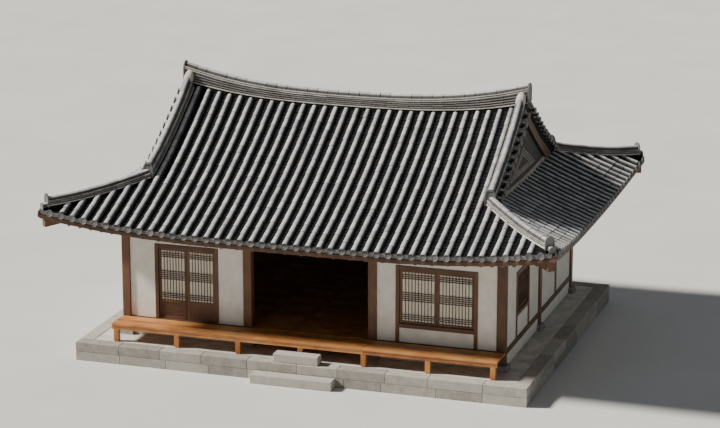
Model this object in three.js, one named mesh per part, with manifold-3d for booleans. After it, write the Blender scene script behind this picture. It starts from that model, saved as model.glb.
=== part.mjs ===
// A one-storey Korean timber house under a hip-and-gable roof of curved clay tiles.
// Units are millimetres. +X runs along the main ridge, the front faces -Y and +Z is up.
// The origin is on the ground, under the middle of the house.
import * as THREE from "three";
import { mergeVertices } from "three/addons/utils/BufferGeometryUtils.js";
import Module from "manifold-3d";

const wasm = await Module();
wasm.setup();

// Driving dimensions of the plan
const bayWidth = 3100; // front and back, three bays between column centres
const bayDepth = 3300; // sides, two bays
const columnSide = 210;
const wallThick = 120;
const wallX = 1.5 * bayWidth; // column centre line of the side walls
const wallY = bayDepth; // column centre line of the front and back walls

// Driving dimensions of the roof: its verge over the gable, where the gable stands, and its corners
const gableX = 4350;
const gableFootY = 2980;
const hipRun = 1850;
const cornerX = gableX + hipRun;
const cornerY = gableFootY + hipRun;
const hipLine = cornerX - cornerY; // |x| - |y| anywhere on a hip
const eaveBow = 200; // how far the middle of an eave lies inside its corners
const cornerLift = 400; // how far the corners rise above the middle of an eave
const liftPower = 2.4;
const ridgeEndRise = 200; // extra rise of the roof under the ends of the main ridge
const eaveZ = 3350; // top of the tile bed at the middle of an eave
const eaveSlope = 0.36;
const slopeGain = 0.000029; // how fast the roof steepens towards the ridge, per millimetre
const bedThick = 160; // tiles and the clay that they are laid in
const boardThick = 35;
const rafterRadius = 55;
const rafterSides = 6;
const rafterPitch = 390;

// Driving heights of the house
const platformZ = 450;
const baseStone = 120;
const floorZ = 900;
const gap = 0.3; // between pieces that touch

// Finishes
const finish = (color, roughness, metalness = 0) =>
  new THREE.MeshStandardMaterial({ color, roughness, metalness });
const tile = finish(0x4a4a4c, 0.75);
const darkTimber = finish(0x5a3d28, 0.7);
const floorTimber = finish(0xa9713c, 0.55);
const plaster = finish(0xe9e3d6, 0.9);
const brick = finish(0x7d7a76, 0.9);
const granite = finish(0xb9b4aa, 0.85);
const paper = finish(0xf2ead6, 0.8);

const house = new THREE.Group();

// Adds one named piece to the house, from a geometry or from a solid.
function piece(name, shape, material) {
  const geometry = shape.isBufferGeometry ? shape : toGeometry(shape);
  const mesh = new THREE.Mesh(geometry, material);
  mesh.name = name;
  house.add(mesh);
}

// Solids and how they join

function toSolid(geometry) {
  const bare = new THREE.BufferGeometry();
  bare.setAttribute("position", geometry.getAttribute("position"));
  bare.setIndex(geometry.index);
  const merged = mergeVertices(bare, 1e-3);
  const mesh = new wasm.Mesh({
    numProp: 3,
    vertProperties: new Float32Array(merged.attributes.position.array),
    triVerts: new Uint32Array(merged.index.array),
  });
  return new wasm.Manifold(mesh);
}

function toGeometry(solid) {
  const mesh = solid.getMesh();
  const geometry = new THREE.BufferGeometry();
  geometry.setAttribute("position", new THREE.BufferAttribute(mesh.vertProperties, 3));
  geometry.setIndex(new THREE.BufferAttribute(mesh.triVerts, 1));
  geometry.computeVertexNormals();
  return geometry;
}

const joined = (solids) => solids.reduce((whole, solid) => whole.add(solid));
const without = (solid, cutters) => cutters.reduce((left, cutter) => left.subtract(cutter), solid);

// A box between two corners.
function block(low, high) {
  const size = high.map((value, i) => value - low[i]);
  const geometry = new THREE.BoxGeometry(...size);
  geometry.translate(...high.map((value, i) => (value + low[i]) / 2));
  return toSolid(geometry);
}

// A closed solid over a grid of cells. place(column, row) gives a corner's x, y, top and bottom, and
// keep(column, row) says which cells are there.
function gridSolid(columns, rows, place, keep = () => true) {
  const positions = [];
  for (let i = 0; i <= columns; i++)
    for (let j = 0; j <= rows; j++) {
      const { x, y, top, bottom } = place(i, j);
      positions.push(x, y, top, x, y, bottom);
    }
  const upper = (i, j) => 2 * (i * (rows + 1) + j);
  const lower = (i, j) => upper(i, j) + 1;
  const there = (i, j) => i >= 0 && j >= 0 && i < columns && j < rows && keep(i, j);
  const index = [];
  const wall = (a, b) => {
    index.push(upper(...a), lower(...a), lower(...b));
    index.push(upper(...a), lower(...b), upper(...b));
  };
  for (let i = 0; i < columns; i++)
    for (let j = 0; j < rows; j++) {
      if (!there(i, j)) continue;
      const [a, b, c, d] = [[i, j], [i + 1, j], [i + 1, j + 1], [i, j + 1]];
      index.push(upper(...a), upper(...b), upper(...c), upper(...a), upper(...c), upper(...d));
      index.push(lower(...a), lower(...c), lower(...b), lower(...a), lower(...d), lower(...c));
      if (!there(i, j - 1)) wall(a, b);
      if (!there(i + 1, j)) wall(b, c);
      if (!there(i, j + 1)) wall(c, d);
      if (!there(i - 1, j)) wall(d, a);
    }
  return closedSolid(positions, index);
}

// A closed solid from points and triangles, turned to face outwards.
function closedSolid(positions, index) {
  const corner = (k) => new THREE.Vector3().fromArray(positions, 3 * k);
  let volume = 0;
  for (let k = 0; k < index.length; k += 3)
    volume += corner(index[k]).dot(corner(index[k + 1]).cross(corner(index[k + 2])));
  const facing = volume < 0 ? index.toReversed() : index;
  const geometry = new THREE.BufferGeometry();
  geometry.setAttribute("position", new THREE.Float32BufferAttribute(positions, 3));
  geometry.setIndex(facing);
  return toSolid(geometry);
}

// Triangles that fill an outline, turned the same way as its points run.
function outlineTriangles(points) {
  const outline = points.map(([across, up]) => new THREE.Vector2(across, up));
  const triangles = THREE.ShapeUtils.triangulateShape(outline, []);
  const area = ([a, b, c]) => outline[b].clone().sub(outline[a]).cross(outline[c].clone().sub(outline[a]));
  const sameWay = area(triangles[0]) > 0 !== THREE.ShapeUtils.isClockWise(outline);
  return sameWay ? triangles : triangles.map(([a, b, c]) => [c, b, a]);
}

// A section carried along stations. Each station has a centre in plan, a level direction across
// and a base height, and section(station) lists points as [across, up].
function sweepSolid(stations, section) {
  const rings = stations.map((station) =>
    section(station).map(([across, up]) => [
      station.x + station.across[0] * across,
      station.y + station.across[1] * across,
      station.z + up,
    ]),
  );
  const count = rings[0].length;
  const index = [];
  for (let s = 0; s + 1 < rings.length; s++)
    for (let k = 0; k < count; k++) {
      const next = (k + 1) % count;
      const [near, far] = [s * count, (s + 1) * count];
      index.push(near + k, near + next, far + next);
      index.push(near + k, far + next, far + k);
    }
  const last = (rings.length - 1) * count;
  for (const [a, b, c] of outlineTriangles(section(stations[0]))) {
    index.push(c, b, a);
    index.push(last + a, last + b, last + c);
  }
  return closedSolid(rings.flat(2), index);
}

// An outline of points [y, z], made thick along X.
function uprightPlate(outline, from, to) {
  const shape = new THREE.Shape(outline.map(([y, z]) => new THREE.Vector2(y, z)));
  const geometry = new THREE.ExtrudeGeometry(shape, { depth: to - from, bevelEnabled: false });
  const axes = [[0, 1, 0], [0, 0, 1], [1, 0, 0]].map((axis) => new THREE.Vector3(...axis));
  geometry.applyMatrix4(new THREE.Matrix4().makeBasis(...axes));
  geometry.translate(from, 0, 0);
  return toSolid(geometry);
}

// The form of the roof

// How much of the corner's lift is felt at a distance from the corner, measured along the eave.
const cornerShare = (fromCorner) => Math.max(0, 1 - fromCorner / cornerY) ** liftPower;
const riseFromEave = (inwards) => eaveSlope * inwards + slopeGain * inwards ** 2;
const frontEave = (x) => cornerY - eaveBow * (1 - cornerShare(cornerX - Math.abs(x)));
const sideEave = (y) => cornerX - eaveBow * (1 - cornerShare(cornerY - Math.abs(y)));

// Top of the tile bed on the front and back slopes.
function longTop(x, y) {
  const lift = cornerLift * cornerShare(cornerX - Math.abs(x));
  const towardsRidge = Math.max(0, 1 - Math.abs(y) / gableFootY) ** 1.5;
  const endRise = ridgeEndRise * (Math.abs(x) / gableX) ** 2.2 * towardsRidge;
  return eaveZ + lift + riseFromEave(frontEave(x) - Math.abs(y)) + endRise;
}

// Top of the tile bed on the left and right slopes.
function sideTop(x, y) {
  const lift = cornerLift * cornerShare(cornerY - Math.abs(y));
  return eaveZ + lift + riseFromEave(sideEave(y) - Math.abs(x));
}

const mix = (a, b, share) => a + (b - a) * share;
const boardBottom = bedThick + gap + boardThick; // below the tile bed's top

// Grid lines of the long slopes. Columns are shares of the half length. Rows run from the ridge at 0
// to the foot of the gable at 1 and the eave at 2. The underside bends only over the middle purlin,
// and towards the corners at the foot of the gable too.
const gableShare = 0.908; // the eave boards stop here beside the gable
const halfColumns = [0.2, 0.4, 0.58, 0.74, gableShare, 1];
const mirrored = (shares) => [...shares.map((share) => -share).reverse(), 0, ...shares];
const longColumns = mirrored(halfColumns);
const longRows = [0, 0.25, 0.5, 0.75, 1, 1.5, 2];
const longBends = [0, 0.5, 1, 2];
const cornerShares = 0.8; // columns past this share belong to the corners
const bendsOf = (share) => (Math.abs(share) > cornerShares ? longBends : [0, 0.5, 2]);
const hipInset = gap / 2;

// A point of a long slope: front is -1 for the front slope and 1 for the back one.
function longPlan(front, share, row) {
  const ridgeX = share * (gableX - hipInset);
  if (row <= 1) return { x: ridgeX, y: front * Math.max(hipInset, gableFootY * row) };
  const eaveX = share * (cornerX - hipInset);
  const run = row - 1;
  return { x: mix(ridgeX, eaveX, run), y: front * mix(gableFootY, frontEave(eaveX), run) };
}

// Underside of the tile bed, straight in plan and height between two bends.
function undersideAt(plan, top, bends, row) {
  const height = (bend) => {
    const { x, y } = plan(bend);
    return top(x, y) - bedThick;
  };
  const upper = bends.findLast((bend) => bend <= row);
  if (upper === row) return height(row);
  const lower = bends.find((bend) => bend > row);
  const [from, to, at] = [plan(upper), plan(lower), plan(row)];
  return mix(height(upper), height(lower), (at.y - from.y) / (to.y - from.y));
}

const longUnderside = (front, share, row) =>
  undersideAt((bend) => longPlan(front, share, bend), longTop, bendsOf(share), row);

function longBed(front, raise = 0, depth = 0) {
  return gridSolid(longColumns.length - 1, longRows.length - 1, (i, j) => {
    const [share, row] = [longColumns[i], longRows[j]];
    const { x, y } = longPlan(front, share, row);
    return { x, y, top: longTop(x, y) + raise, bottom: longUnderside(front, share, row) + raise - depth };
  });
}

// A layer under the tile bed, between two depths below its underside and from one row outwards.
function longLayer(front, above, below, fromRow = 0, keep = () => true) {
  const rows = longRows.slice(fromRow);
  return gridSolid(
    longColumns.length - 1,
    rows.length - 1,
    (i, j) => {
      const { x, y } = longPlan(front, longColumns[i], rows[j]);
      const underside = longUnderside(front, longColumns[i], rows[j]);
      return { x, y, top: underside - above, bottom: underside - below };
    },
    keep,
  );
}

// Grid lines of the side slopes. Near the foot of the gable the slope keeps clear of the roof above.
const tuckFrom = 420;
const tuckDepth = 300;
const tuckShares = [(gableFootY - tuckFrom - tuckDepth) / gableFootY, (gableFootY - tuckFrom) / gableFootY];
const sideColumns = mirrored([0.28, 0.54, ...tuckShares, 1]);
const sideRows = [0, 0.5, 1];
const innerX = (y) => gableX - Math.min(tuckDepth, Math.max(0, gableFootY - Math.abs(y) - tuckFrom));

function sidePlan(side, share, run) {
  const innerY = share * gableFootY;
  const eaveY = share * cornerY;
  const x = mix(innerX(innerY) + hipInset, sideEave(eaveY) + hipInset, run);
  return { x: side * x, y: mix(innerY, eaveY, run) };
}

function sideUnderside(side, share, row) {
  const height = (bend) => {
    const { x, y } = sidePlan(side, share, bend);
    return sideTop(x, y) - bedThick;
  };
  return mix(height(0), height(1), row);
}

// The tile bed of a side slope.
function sideBed(side, raise = 0, depth = 0) {
  return gridSolid(sideColumns.length - 1, sideRows.length - 1, (i, j) => {
    const { x, y } = sidePlan(side, sideColumns[i], sideRows[j]);
    const bottom = sideUnderside(side, sideColumns[i], sideRows[j]);
    return { x, y, top: sideTop(x, y) + raise, bottom: bottom + raise - depth };
  });
}

function sideLayer(side, above, below) {
  return gridSolid(sideColumns.length - 1, sideRows.length - 1, (i, j) => {
    const { x, y } = sidePlan(side, sideColumns[i], sideRows[j]);
    const underside = sideUnderside(side, sideColumns[i], sideRows[j]);
    return { x, y, top: underside - above, bottom: underside - below };
  });
}

const beds = { front: longBed(-1), back: longBed(1), left: sideBed(-1), right: sideBed(1) };
for (const [side, bed] of Object.entries(beds)) piece(`roof_slope_${side}`, bed, tile);

// Eaves: boards under the tile bed, carried by round rafters that fan out at the corners

const fanX = gableX - 60; // where the lines of the fan rafters meet and the hip rafter starts
const fanY = fanX - hipLine;
const fanStart = 0.13; // share of the way out at which a fan rafter begins
const fanClear = 100; // from the start of the fan back to the last straight rafter
const fanEdge = 330; // from the corner back to the last fan rafter, along the eave
const rafterEnd = 110; // from the eave's edge back to the rafter's end
const rafterTop = 42; // from the board's underside down to the rafter's axis
const innerRafterY = 0.5 * gableFootY;
const fanRafters = 6;
const hipRafterWidth = 180;
const hipRafterHeight = 230;
const hipRafterBack = 75; // from the corner back to the end of its centre line
const hipRafterSeat = 6; // how deep it reaches into the boards
const seat = 8; // how deep a round rafter may reach into the boards
const corridor = (hipRafterWidth / 2 + 10) * Math.SQRT2; // kept for the hip rafter, as |x| - |y|

// A straight round timber between two points of its axis, with a flat facet on top.
function log(from, to, radius, sides) {
  const a = new THREE.Vector3(...from);
  const b = new THREE.Vector3(...to);
  const geometry = new THREE.CylinderGeometry(radius, radius, a.distanceTo(b), sides);
  geometry.rotateY(Math.PI / sides);
  const along = b.clone().sub(a).normalize();
  const level = new THREE.Vector3(along.y, -along.x, 0).normalize();
  const up = new THREE.Vector3().crossVectors(level, along);
  geometry.applyMatrix4(new THREE.Matrix4().makeBasis(level, along, up));
  geometry.translate(...a.add(b).multiplyScalar(0.5).toArray());
  return toSolid(geometry);
}

const fanPair = ([x, y]) => [[mix(fanX, x, fanStart), mix(fanY, y, fanStart)], [x, y]];

// The rafters of the front eave's right half, as pairs of points in plan from inside to the eave's edge.
function longRafterPlan() {
  const pairs = [];
  const straight = Math.floor((fanX - fanClear) / rafterPitch - 0.5);
  for (let k = 0; k <= straight; k++) {
    const x = (k + 0.5) * rafterPitch;
    pairs.push([[x, innerRafterY], [x, frontEave(x)]]);
  }
  const first = (straight + 1.5) * rafterPitch;
  for (let k = 0; k < fanRafters; k++) {
    const x = mix(first, cornerX - fanEdge, k / (fanRafters - 1));
    pairs.push(fanPair([x, frontEave(x)]));
  }
  return pairs;
}

function sideRafterPlan() {
  const pairs = [];
  const straight = Math.floor((fanY - fanClear) / rafterPitch - 0.5);
  for (let k = 0; k <= straight; k++) {
    const y = (k + 0.5) * rafterPitch;
    pairs.push([[innerX(y), y], [sideEave(y), y]]);
  }
  const first = (straight + 1.5) * rafterPitch;
  for (let k = 0; k < fanRafters; k++) {
    const y = mix(first, cornerY - fanEdge, k / (fanRafters - 1));
    pairs.push(fanPair([sideEave(y), y]));
  }
  return pairs;
}

// The axis of a rafter in the front right quarter.
function rafterAxis([inner, edge], surface) {
  const [from, to] = [inner, edge].map(([x, y]) => {
    return new THREE.Vector3(x, y, surface(x, y) - boardBottom - rafterTop);
  });
  return { from, to: to.lerp(from, rafterEnd / from.distanceTo(to)) };
}

// Rafters for both halves of one eave. Each flip turns the plan of the front right quarter into place.
function rafters(plan, surface, flips) {
  const logs = flips.flatMap(([flipX, flipY]) =>
    plan.map((pair) => {
      const { from, to } = rafterAxis(pair, surface);
      const placed = [from, to].map(({ x, y, z }) => [flipX * x, flipY * y, z]);
      return log(...placed, rafterRadius, rafterSides);
    }),
  );
  return joined(logs);
}

const regionFoot = 2500; // the regions below span every height of the eaves
const regionHeight = 3000;
const beyondEave = 500;

// An upright prism over an outline in plan, turned half round for the front and the left side.
function region(outline, turned) {
  const shape = new THREE.Shape(outline.map(([x, y]) => new THREE.Vector2(x, y)));
  const geometry = new THREE.ExtrudeGeometry(shape, { depth: regionHeight, bevelEnabled: false });
  geometry.translate(0, 0, regionFoot);
  if (turned) geometry.rotateZ(Math.PI);
  return toSolid(geometry);
}

// Keeps the timbers of the front or back eave on their own side of the hips.
function longRegion(front) {
  const edge = (y) => hipLine + y - corridor;
  const [near, far] = [1000, cornerY + beyondEave];
  return region([[-edge(far), far], [-edge(near), near], [edge(near), near], [edge(far), far]], front < 0);
}

// Keeps the timbers of a side eave on their own side of the hips.
function sideRegion(side) {
  const edge = (x) => x - hipLine - gap;
  const [near, far] = [fanX - 200, cornerX + beyondEave];
  return region([[far, -edge(far)], [far, edge(far)], [near, edge(near)], [near, -edge(near)]], side < 0);
}

// The heavy timber under a hip, from inside the roof to its upturned corner.
function hipRafter(side, front, grow = 0) {
  const stations = [0, 0.35, 0.7, 1].map((share) => {
    const x = mix(fanX, cornerX - hipRafterBack, share);
    const y = x - hipLine;
    return {
      x: side * x,
      y: front * y,
      z: sideTop(x, y) - boardBottom + hipRafterSeat,
      across: [side * Math.SQRT1_2, -front * Math.SQRT1_2],
    };
  });
  const half = hipRafterWidth / 2 + grow;
  const [top, bottom] = [grow, -hipRafterHeight - grow];
  return sweepSolid(stations, () => [[-half, top], [half, top], [half, bottom], [-half, bottom]]);
}

const boardRow = longRows.indexOf(0.5);
const footRow = longRows.indexOf(1) - boardRow;
const besideGable = (i, j) => j < footRow && Math.abs(longColumns[i] + longColumns[i + 1]) > 2 * gableShare;
const eaveBoards = (front) =>
  longLayer(front, gap, gap + boardThick, boardRow, (i, j) => !besideGable(i, j));
const overhead = 4000; // a height above the whole roof

// A thin upright cutter that closes the joint between two slopes, above their eave boards.
function hipJoint(side, front) {
  const stations = [gableX - 30, cornerX + 60].map((x) => {
    const share = (x - gableX) / hipRun;
    const [foot, corner] = [gableX, cornerX].map((at) => sideTop(at, at - hipLine));
    return {
      x: side * x,
      y: front * (x - hipLine),
      z: mix(foot, corner, share) - bedThick - gap - seat,
      across: [side * Math.SQRT1_2, -front * Math.SQRT1_2],
    };
  });
  return sweepSolid(stations, () => [[-1, 0], [1, 0], [1, overhead], [-1, overhead]]);
}

const quarters = [-1, 1].flatMap((side) => [-1, 1].map((front) => [side, front]));
const aboveLong = [
  ...[-1, 1].map((front) => longLayer(front, -overhead, gap + seat, boardRow)),
  ...quarters.map(([side, front]) => hipJoint(side, front)),
];
const longEaves = {};
for (const [name, front] of [["front", -1], ["back", 1]]) {
  const round = rafters(longRafterPlan(), longTop, [[1, front], [-1, front]]);
  const trimmed = without(round.intersect(longRegion(front)), aboveLong);
  longEaves[name] = eaveBoards(front).add(trimmed);
}
const sideEaves = {};
for (const [name, side] of [["left", -1], ["right", 1]]) {
  const round = rafters(sideRafterPlan(), sideTop, [[side, 1], [side, -1]]);
  const aboveSide = sideLayer(side, -overhead, gap + seat);
  const timbers = joined([round.intersect(sideRegion(side)), hipRafter(side, 1), hipRafter(side, -1)]);
  const trimmed = without(timbers, [...aboveLong, aboveSide]);
  const whole = trimmed.add(sideLayer(side, gap, gap + boardThick));
  const clearances = [[0, -gap], [side * gap, 0], [side * gap, -gap]];
  const neighbours = Object.values(longEaves).flatMap((eave) =>
    clearances.map(([across, down]) => eave.translate([across, 0, down])),
  );
  sideEaves[name] = largest(without(whole, neighbours));
}
const eaves = { ...longEaves, ...sideEaves };
for (const [side, eave] of Object.entries(eaves)) piece(`eave_rafters_${side}`, eave, darkTimber);

// Head beams: a beam over the columns with the round eave purlin on it, wedged up at the corners

const purlinRadius = 112;
const purlinSides = 8;
const beamDepth = 330;
const beamThick = 110;
const beamHead = 280; // how far beams run past a column
const crossBeamWidth = 240;
const apothem = (radius, sides) => radius * Math.cos(Math.PI / sides);

// Where the underside of a rafter lies at a distance from the middle line of the house.
function rafterFoot(pair, surface, flat, distance) {
  const { from, to } = rafterAxis(pair, surface);
  const run = to.clone().sub(from);
  const foot = from.clone().addScaledVector(run, (distance - from[flat]) / run[flat]);
  foot.z -= (apothem(rafterRadius, rafterSides) * run.length()) / Math.hypot(run.x, run.y);
  return { ...foot, fall: -run.z / run[flat] };
}

const firstRafter = rafterFoot(longRafterPlan()[0], longTop, "y", wallY);
const firstSideRafter = rafterFoot(sideRafterPlan()[0], sideTop, "x", wallX);
const tangentZ = (foot, radius) => foot.z - radius * Math.hypot(1, foot.fall) - 2 * gap;
const purlinZ = tangentZ(firstRafter, purlinRadius);
const sidePurlinZ = tangentZ(firstSideRafter, purlinRadius);
const columnTop = purlinZ - apothem(purlinRadius, purlinSides) - beamDepth;

// One eave beam, along X for the front and back and along Y for the sides.
function headBeam(alongX, offset, halfLength, grow = 0) {
  const half = beamThick / 2 + grow;
  const ends = [[-halfLength, offset - half], [halfLength, offset + half]];
  const [low, high] = alongX ? ends : ends.map(([along, across]) => [across, along]);
  const z = alongX ? purlinZ : sidePurlinZ;
  const web = block([...low, columnTop + gap - grow], [...high, z]);
  const axis = (along) => (alongX ? [along, offset, z] : [offset, along, z]);
  return web.add(log(axis(-halfLength), axis(halfLength), purlinRadius + grow, purlinSides));
}

const wedgeRoom = 8; // lets the rafters cross the wedge at a slant
const unwedged = 2; // rafters nearest the middle, which need no wedge

// The wedge on an eave purlin that carries the rafters as they rise to the corner.
function cornerWedge(alongX, sideSign, offset) {
  const plan = alongX ? longRafterPlan() : sideRafterPlan();
  const [surface, flat, run] = alongX ? [longTop, "y", "x"] : [sideTop, "x", "y"];
  const carried = plan.slice(unwedged).map((pair) => rafterFoot(pair, surface, flat, Math.abs(offset)));
  return gridSolid(carried.length - 1, 1, (i, j) => {
    const across = (j - 0.5) * beamThick;
    const foot = carried[i];
    const [x, y] = alongX ? [sideSign * foot.x, offset + across] : [offset + across, sideSign * foot.y];
    const outwards = across * Math.sign(offset);
    const top = foot.z - foot.fall * outwards - wedgeRoom;
    return { x, y, bottom: alongX ? purlinZ : sidePurlinZ, top };
  });
}

function crossBeam(x, grow = 0) {
  const half = crossBeamWidth / 2 + grow;
  const reach = wallY + beamHead + grow;
  const [bottom, top] = [columnTop + gap - grow, columnTop + beamDepth + grow];
  return block([x - half, -reach, bottom], [x + half, reach, top]);
}

const trussX = bayWidth / 2;
const grownHipRafters = quarters.map(([side, front]) => hipRafter(side, front, gap));
const loweredEaves = Object.values(eaves).map((eave) => eave.translate([0, 0, -gap]));
for (const [name, front] of [["front", -1], ["back", 1]]) {
  const offset = front * wallY;
  const beam = joined([
    headBeam(true, offset, wallX + beamHead),
    cornerWedge(true, 1, offset),
    cornerWedge(true, -1, offset),
  ]);
  const cutters = [crossBeam(trussX, gap), crossBeam(-trussX, gap), ...grownHipRafters, ...loweredEaves];
  piece(`head_beam_${name}`, without(beam, cutters), darkTimber);
}
for (const [name, side] of [["left", -1], ["right", 1]]) {
  const offset = side * wallX;
  const reach = wallY - purlinRadius - gap;
  const beam = joined([
    headBeam(false, offset, reach),
    cornerWedge(false, 1, offset),
    cornerWedge(false, -1, offset),
  ]);
  const across = [-1, 1].map((front) => headBeam(true, front * wallY, wallX + beamHead, gap));
  piece(`head_beam_${name}`, without(beam, [...across, ...grownHipRafters, ...loweredEaves]), darkTimber);
}

// Roof frames over the two inner column lines, with the purlins that they carry

const midPurlinY = 1650;
const midPurlinRadius = 98;
const midRafter = rafterFoot(longRafterPlan()[0], longTop, "y", midPurlinY);
const midPurlinZ = tangentZ(midRafter, midPurlinRadius);
const upperBeamDepth = 230;
const upperBeamTop = midPurlinZ - apothem(midPurlinRadius, purlinSides) - gap;
const ridgePurlinSide = 190;
const ridgePurlinTop = longTop(0, ridgePurlinSide / 2) - bedThick - 5;
const ridgePurlinFoot = ridgePurlinTop - ridgePurlinSide;
const framePost = { wide: 170, deep: 260 }; // between the two beams of a frame
const upperBeamWidth = 200;
const upperBeamHead = 210; // how far the upper beam runs past the middle purlins
const kingPost = { foot: 330, head: 120, thick: 120 }; // half widths of a board post, and its thickness
const bite = 1; // how far joined timbers reach into each other

for (const [name, side] of [["left", -1], ["right", 1]]) {
  const x = side * trussX;
  const upright = (y, from, to, wide, deep) =>
    block([x - wide / 2, y - deep / 2, from], [x + wide / 2, y + deep / 2, to]);
  const beamTop = columnTop + beamDepth;
  const upperFoot = upperBeamTop - upperBeamDepth;
  const posts = [-1, 1].map((front) =>
    upright(front * midPurlinY, beamTop - bite, upperFoot + bite, framePost.wide, framePost.deep),
  );
  const upperLength = 2 * (midPurlinY + upperBeamHead);
  const kingOutline = [
    [-kingPost.foot, upperBeamTop - bite],
    [kingPost.foot, upperBeamTop - bite],
    [kingPost.head, ridgePurlinFoot - gap],
    [-kingPost.head, ridgePurlinFoot - gap],
  ];
  const frame = joined([
    crossBeam(x),
    ...posts,
    upright(0, upperFoot, upperBeamTop, upperBeamWidth, upperLength),
    uprightPlate(kingOutline, x - kingPost.thick / 2, x + kingPost.thick / 2),
  ]);
  piece(`roof_frame_${name}`, frame, darkTimber);
}

const gableWallX = gableX - tuckDepth + 40; // inner face of the gable walls
for (const [name, front] of [["front", -1], ["back", 1]]) {
  const y = front * midPurlinY;
  const reach = gableWallX - 50;
  const purlin = log([-reach, y, midPurlinZ], [reach, y, midPurlinZ], midPurlinRadius, purlinSides);
  piece(`mid_purlin_${name}`, purlin, darkTimber);
}
const ridgeReach = gableWallX - gap;
piece(
  "ridge_purlin",
  block(
    [-ridgeReach, -ridgePurlinSide / 2, ridgePurlinTop - ridgePurlinSide],
    [ridgeReach, ridgePurlinSide / 2, ridgePurlinTop],
  ),
  darkTimber,
);

// Gable walls, standing on the side slopes and closed over by the long ones

const gableWallThick = 150;
const gableWallHalf = gableFootY - tuckFrom - tuckDepth + 40;
const gableWallFoot = eaveZ + 300; // the side slope cuts the foot to its own line
const gableWallHead = eaveZ + 3000; // and the long slopes cut the head
const ridgeCover = gridSolid(longColumns.length - 1, 1, (i, j) => {
  const bottom = longUnderside(1, longColumns[i], 0) - gap;
  return { x: longColumns[i] * gableX, y: 2 * j - 1, top: bottom + overhead, bottom };
});
const longCovers = [ridgeCover, ...[-1, 1].map((front) => longLayer(front, -overhead, gap))];
const raisedSides = [-1, 1].map((side) => sideBed(side, gap, 400));
for (const [name, side] of [["left", -1], ["right", 1]]) {
  const half = gableWallHalf;
  const [near, far] = [side * gableWallX, side * (gableWallX + gableWallThick)];
  const low = Math.min(near, far);
  const raw = block([low, -half, gableWallFoot], [low + gableWallThick, half, gableWallHead]);
  piece(`gable_wall_${name}`, without(raw, [...longCovers, ...raisedSides]), brick);
}

// Barge boards under the verges
const bargeDepth = 260;
const bargeThick = 45;
const bargeSetBack = 25; // from the verge's edge
const bargeHalf = gableFootY - 180;
const bargeSteps = 14;
const bargeCover = 40; // how far it would reach into the bed before the bed cuts it
for (const [name, side] of [["left", -1], ["right", 1]]) {
  const raw = gridSolid(1, bargeSteps, (i, j) => {
    const x = side * (gableX - bargeSetBack - i * bargeThick);
    const y = mix(-bargeHalf, bargeHalf, j / bargeSteps);
    const underside = longTop(x, y) - bedThick;
    return { x, y, top: underside + bargeCover, bottom: underside - bargeDepth };
  });
  piece(`barge_board_${name}`, without(raw, [...longCovers, ...raisedSides]), darkTimber);
}

// Ridges of stacked tiles. A skirt is how far the sides reach down beside the crest.

const ridgeHalf = gableX + 40;
const mainSize = { low: 390, endExtra: 110, width: 300, skirt: 130 };
const vergeSize = { height: 350, headRise: 90, width: 240, skirt: 60, upturn: 40 };
const hipSize = { height: 230, width: 240, skirt: 90, upturn: 60 };
const crestGap = 6; // from the crest of the bed up to the ridge's underside
const endTileThick = 28;
const endTileShoulder = 0.55; // share of its height where the round top begins
const mainEnd = { height: 420, width: 330, rise: 100, back: 5 };
const vergeEnd = { height: 440, width: 270, rise: -20 };
const hipEnd = { height: 330, width: 260 };

// A half-round end tile that closes a ridge, facing along out.
function endTile({ x, y, z, out }, height, width) {
  const across = [-out[1], out[0]];
  const arc = [0, 0.25, 0.5, 0.75, 1].map((share) => {
    const angle = Math.PI * share;
    return [(-Math.cos(angle) * width) / 2, height * mix(endTileShoulder, 1, Math.sin(angle))];
  });
  const outline = [[width / 2, 0], [-width / 2, 0], ...arc];
  const faces = [-0.5, 0.5].map((share) => {
    const run = share * endTileThick;
    return { x: x + out[0] * run, y: y + out[1] * run, z, across };
  });
  return sweepSolid(faces, () => outline);
}

// Section of a ridge that straddles its crest, as points [across, up].
function ridgeSection(height, width, skirt) {
  const half = [
    [width * 0.24, height],
    [width * 0.42, height * 0.75],
    [width / 2, height * 0.45],
    [width / 2, -skirt],
  ];
  return [...half, [0, crestGap], ...half.map(([across, up]) => [-across, up]).reverse()];
}

// Places along a ridge from one end to the other.
const stationsAlong = (from, to, spans, place) =>
  Array.from({ length: spans + 1 }, (_, k) => place(mix(from, to, k / spans), k / spans));

function mainRidge(grow = 0) {
  const { low, endExtra, width, skirt } = mainSize;
  const stations = stationsAlong(-ridgeHalf, ridgeHalf, 12, (x) => {
    return { x, y: 0, z: longTop(x, 0), across: [0, 1] };
  });
  const body = sweepSolid(stations, ({ x }) => {
    const height = low + endExtra * (Math.abs(x) / ridgeHalf) ** 2;
    return ridgeSection(height + grow, width + 2 * grow, skirt);
  });
  const ends = [-1, 1].map((side) => {
    const place = { x: side * (ridgeHalf - mainEnd.back), y: 0, z: longTop(ridgeHalf, 0) + mainEnd.rise };
    return endTile({ ...place, out: [side, 0] }, mainEnd.height + grow, mainEnd.width);
  });
  return joined([body, ...ends]);
}

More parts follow.
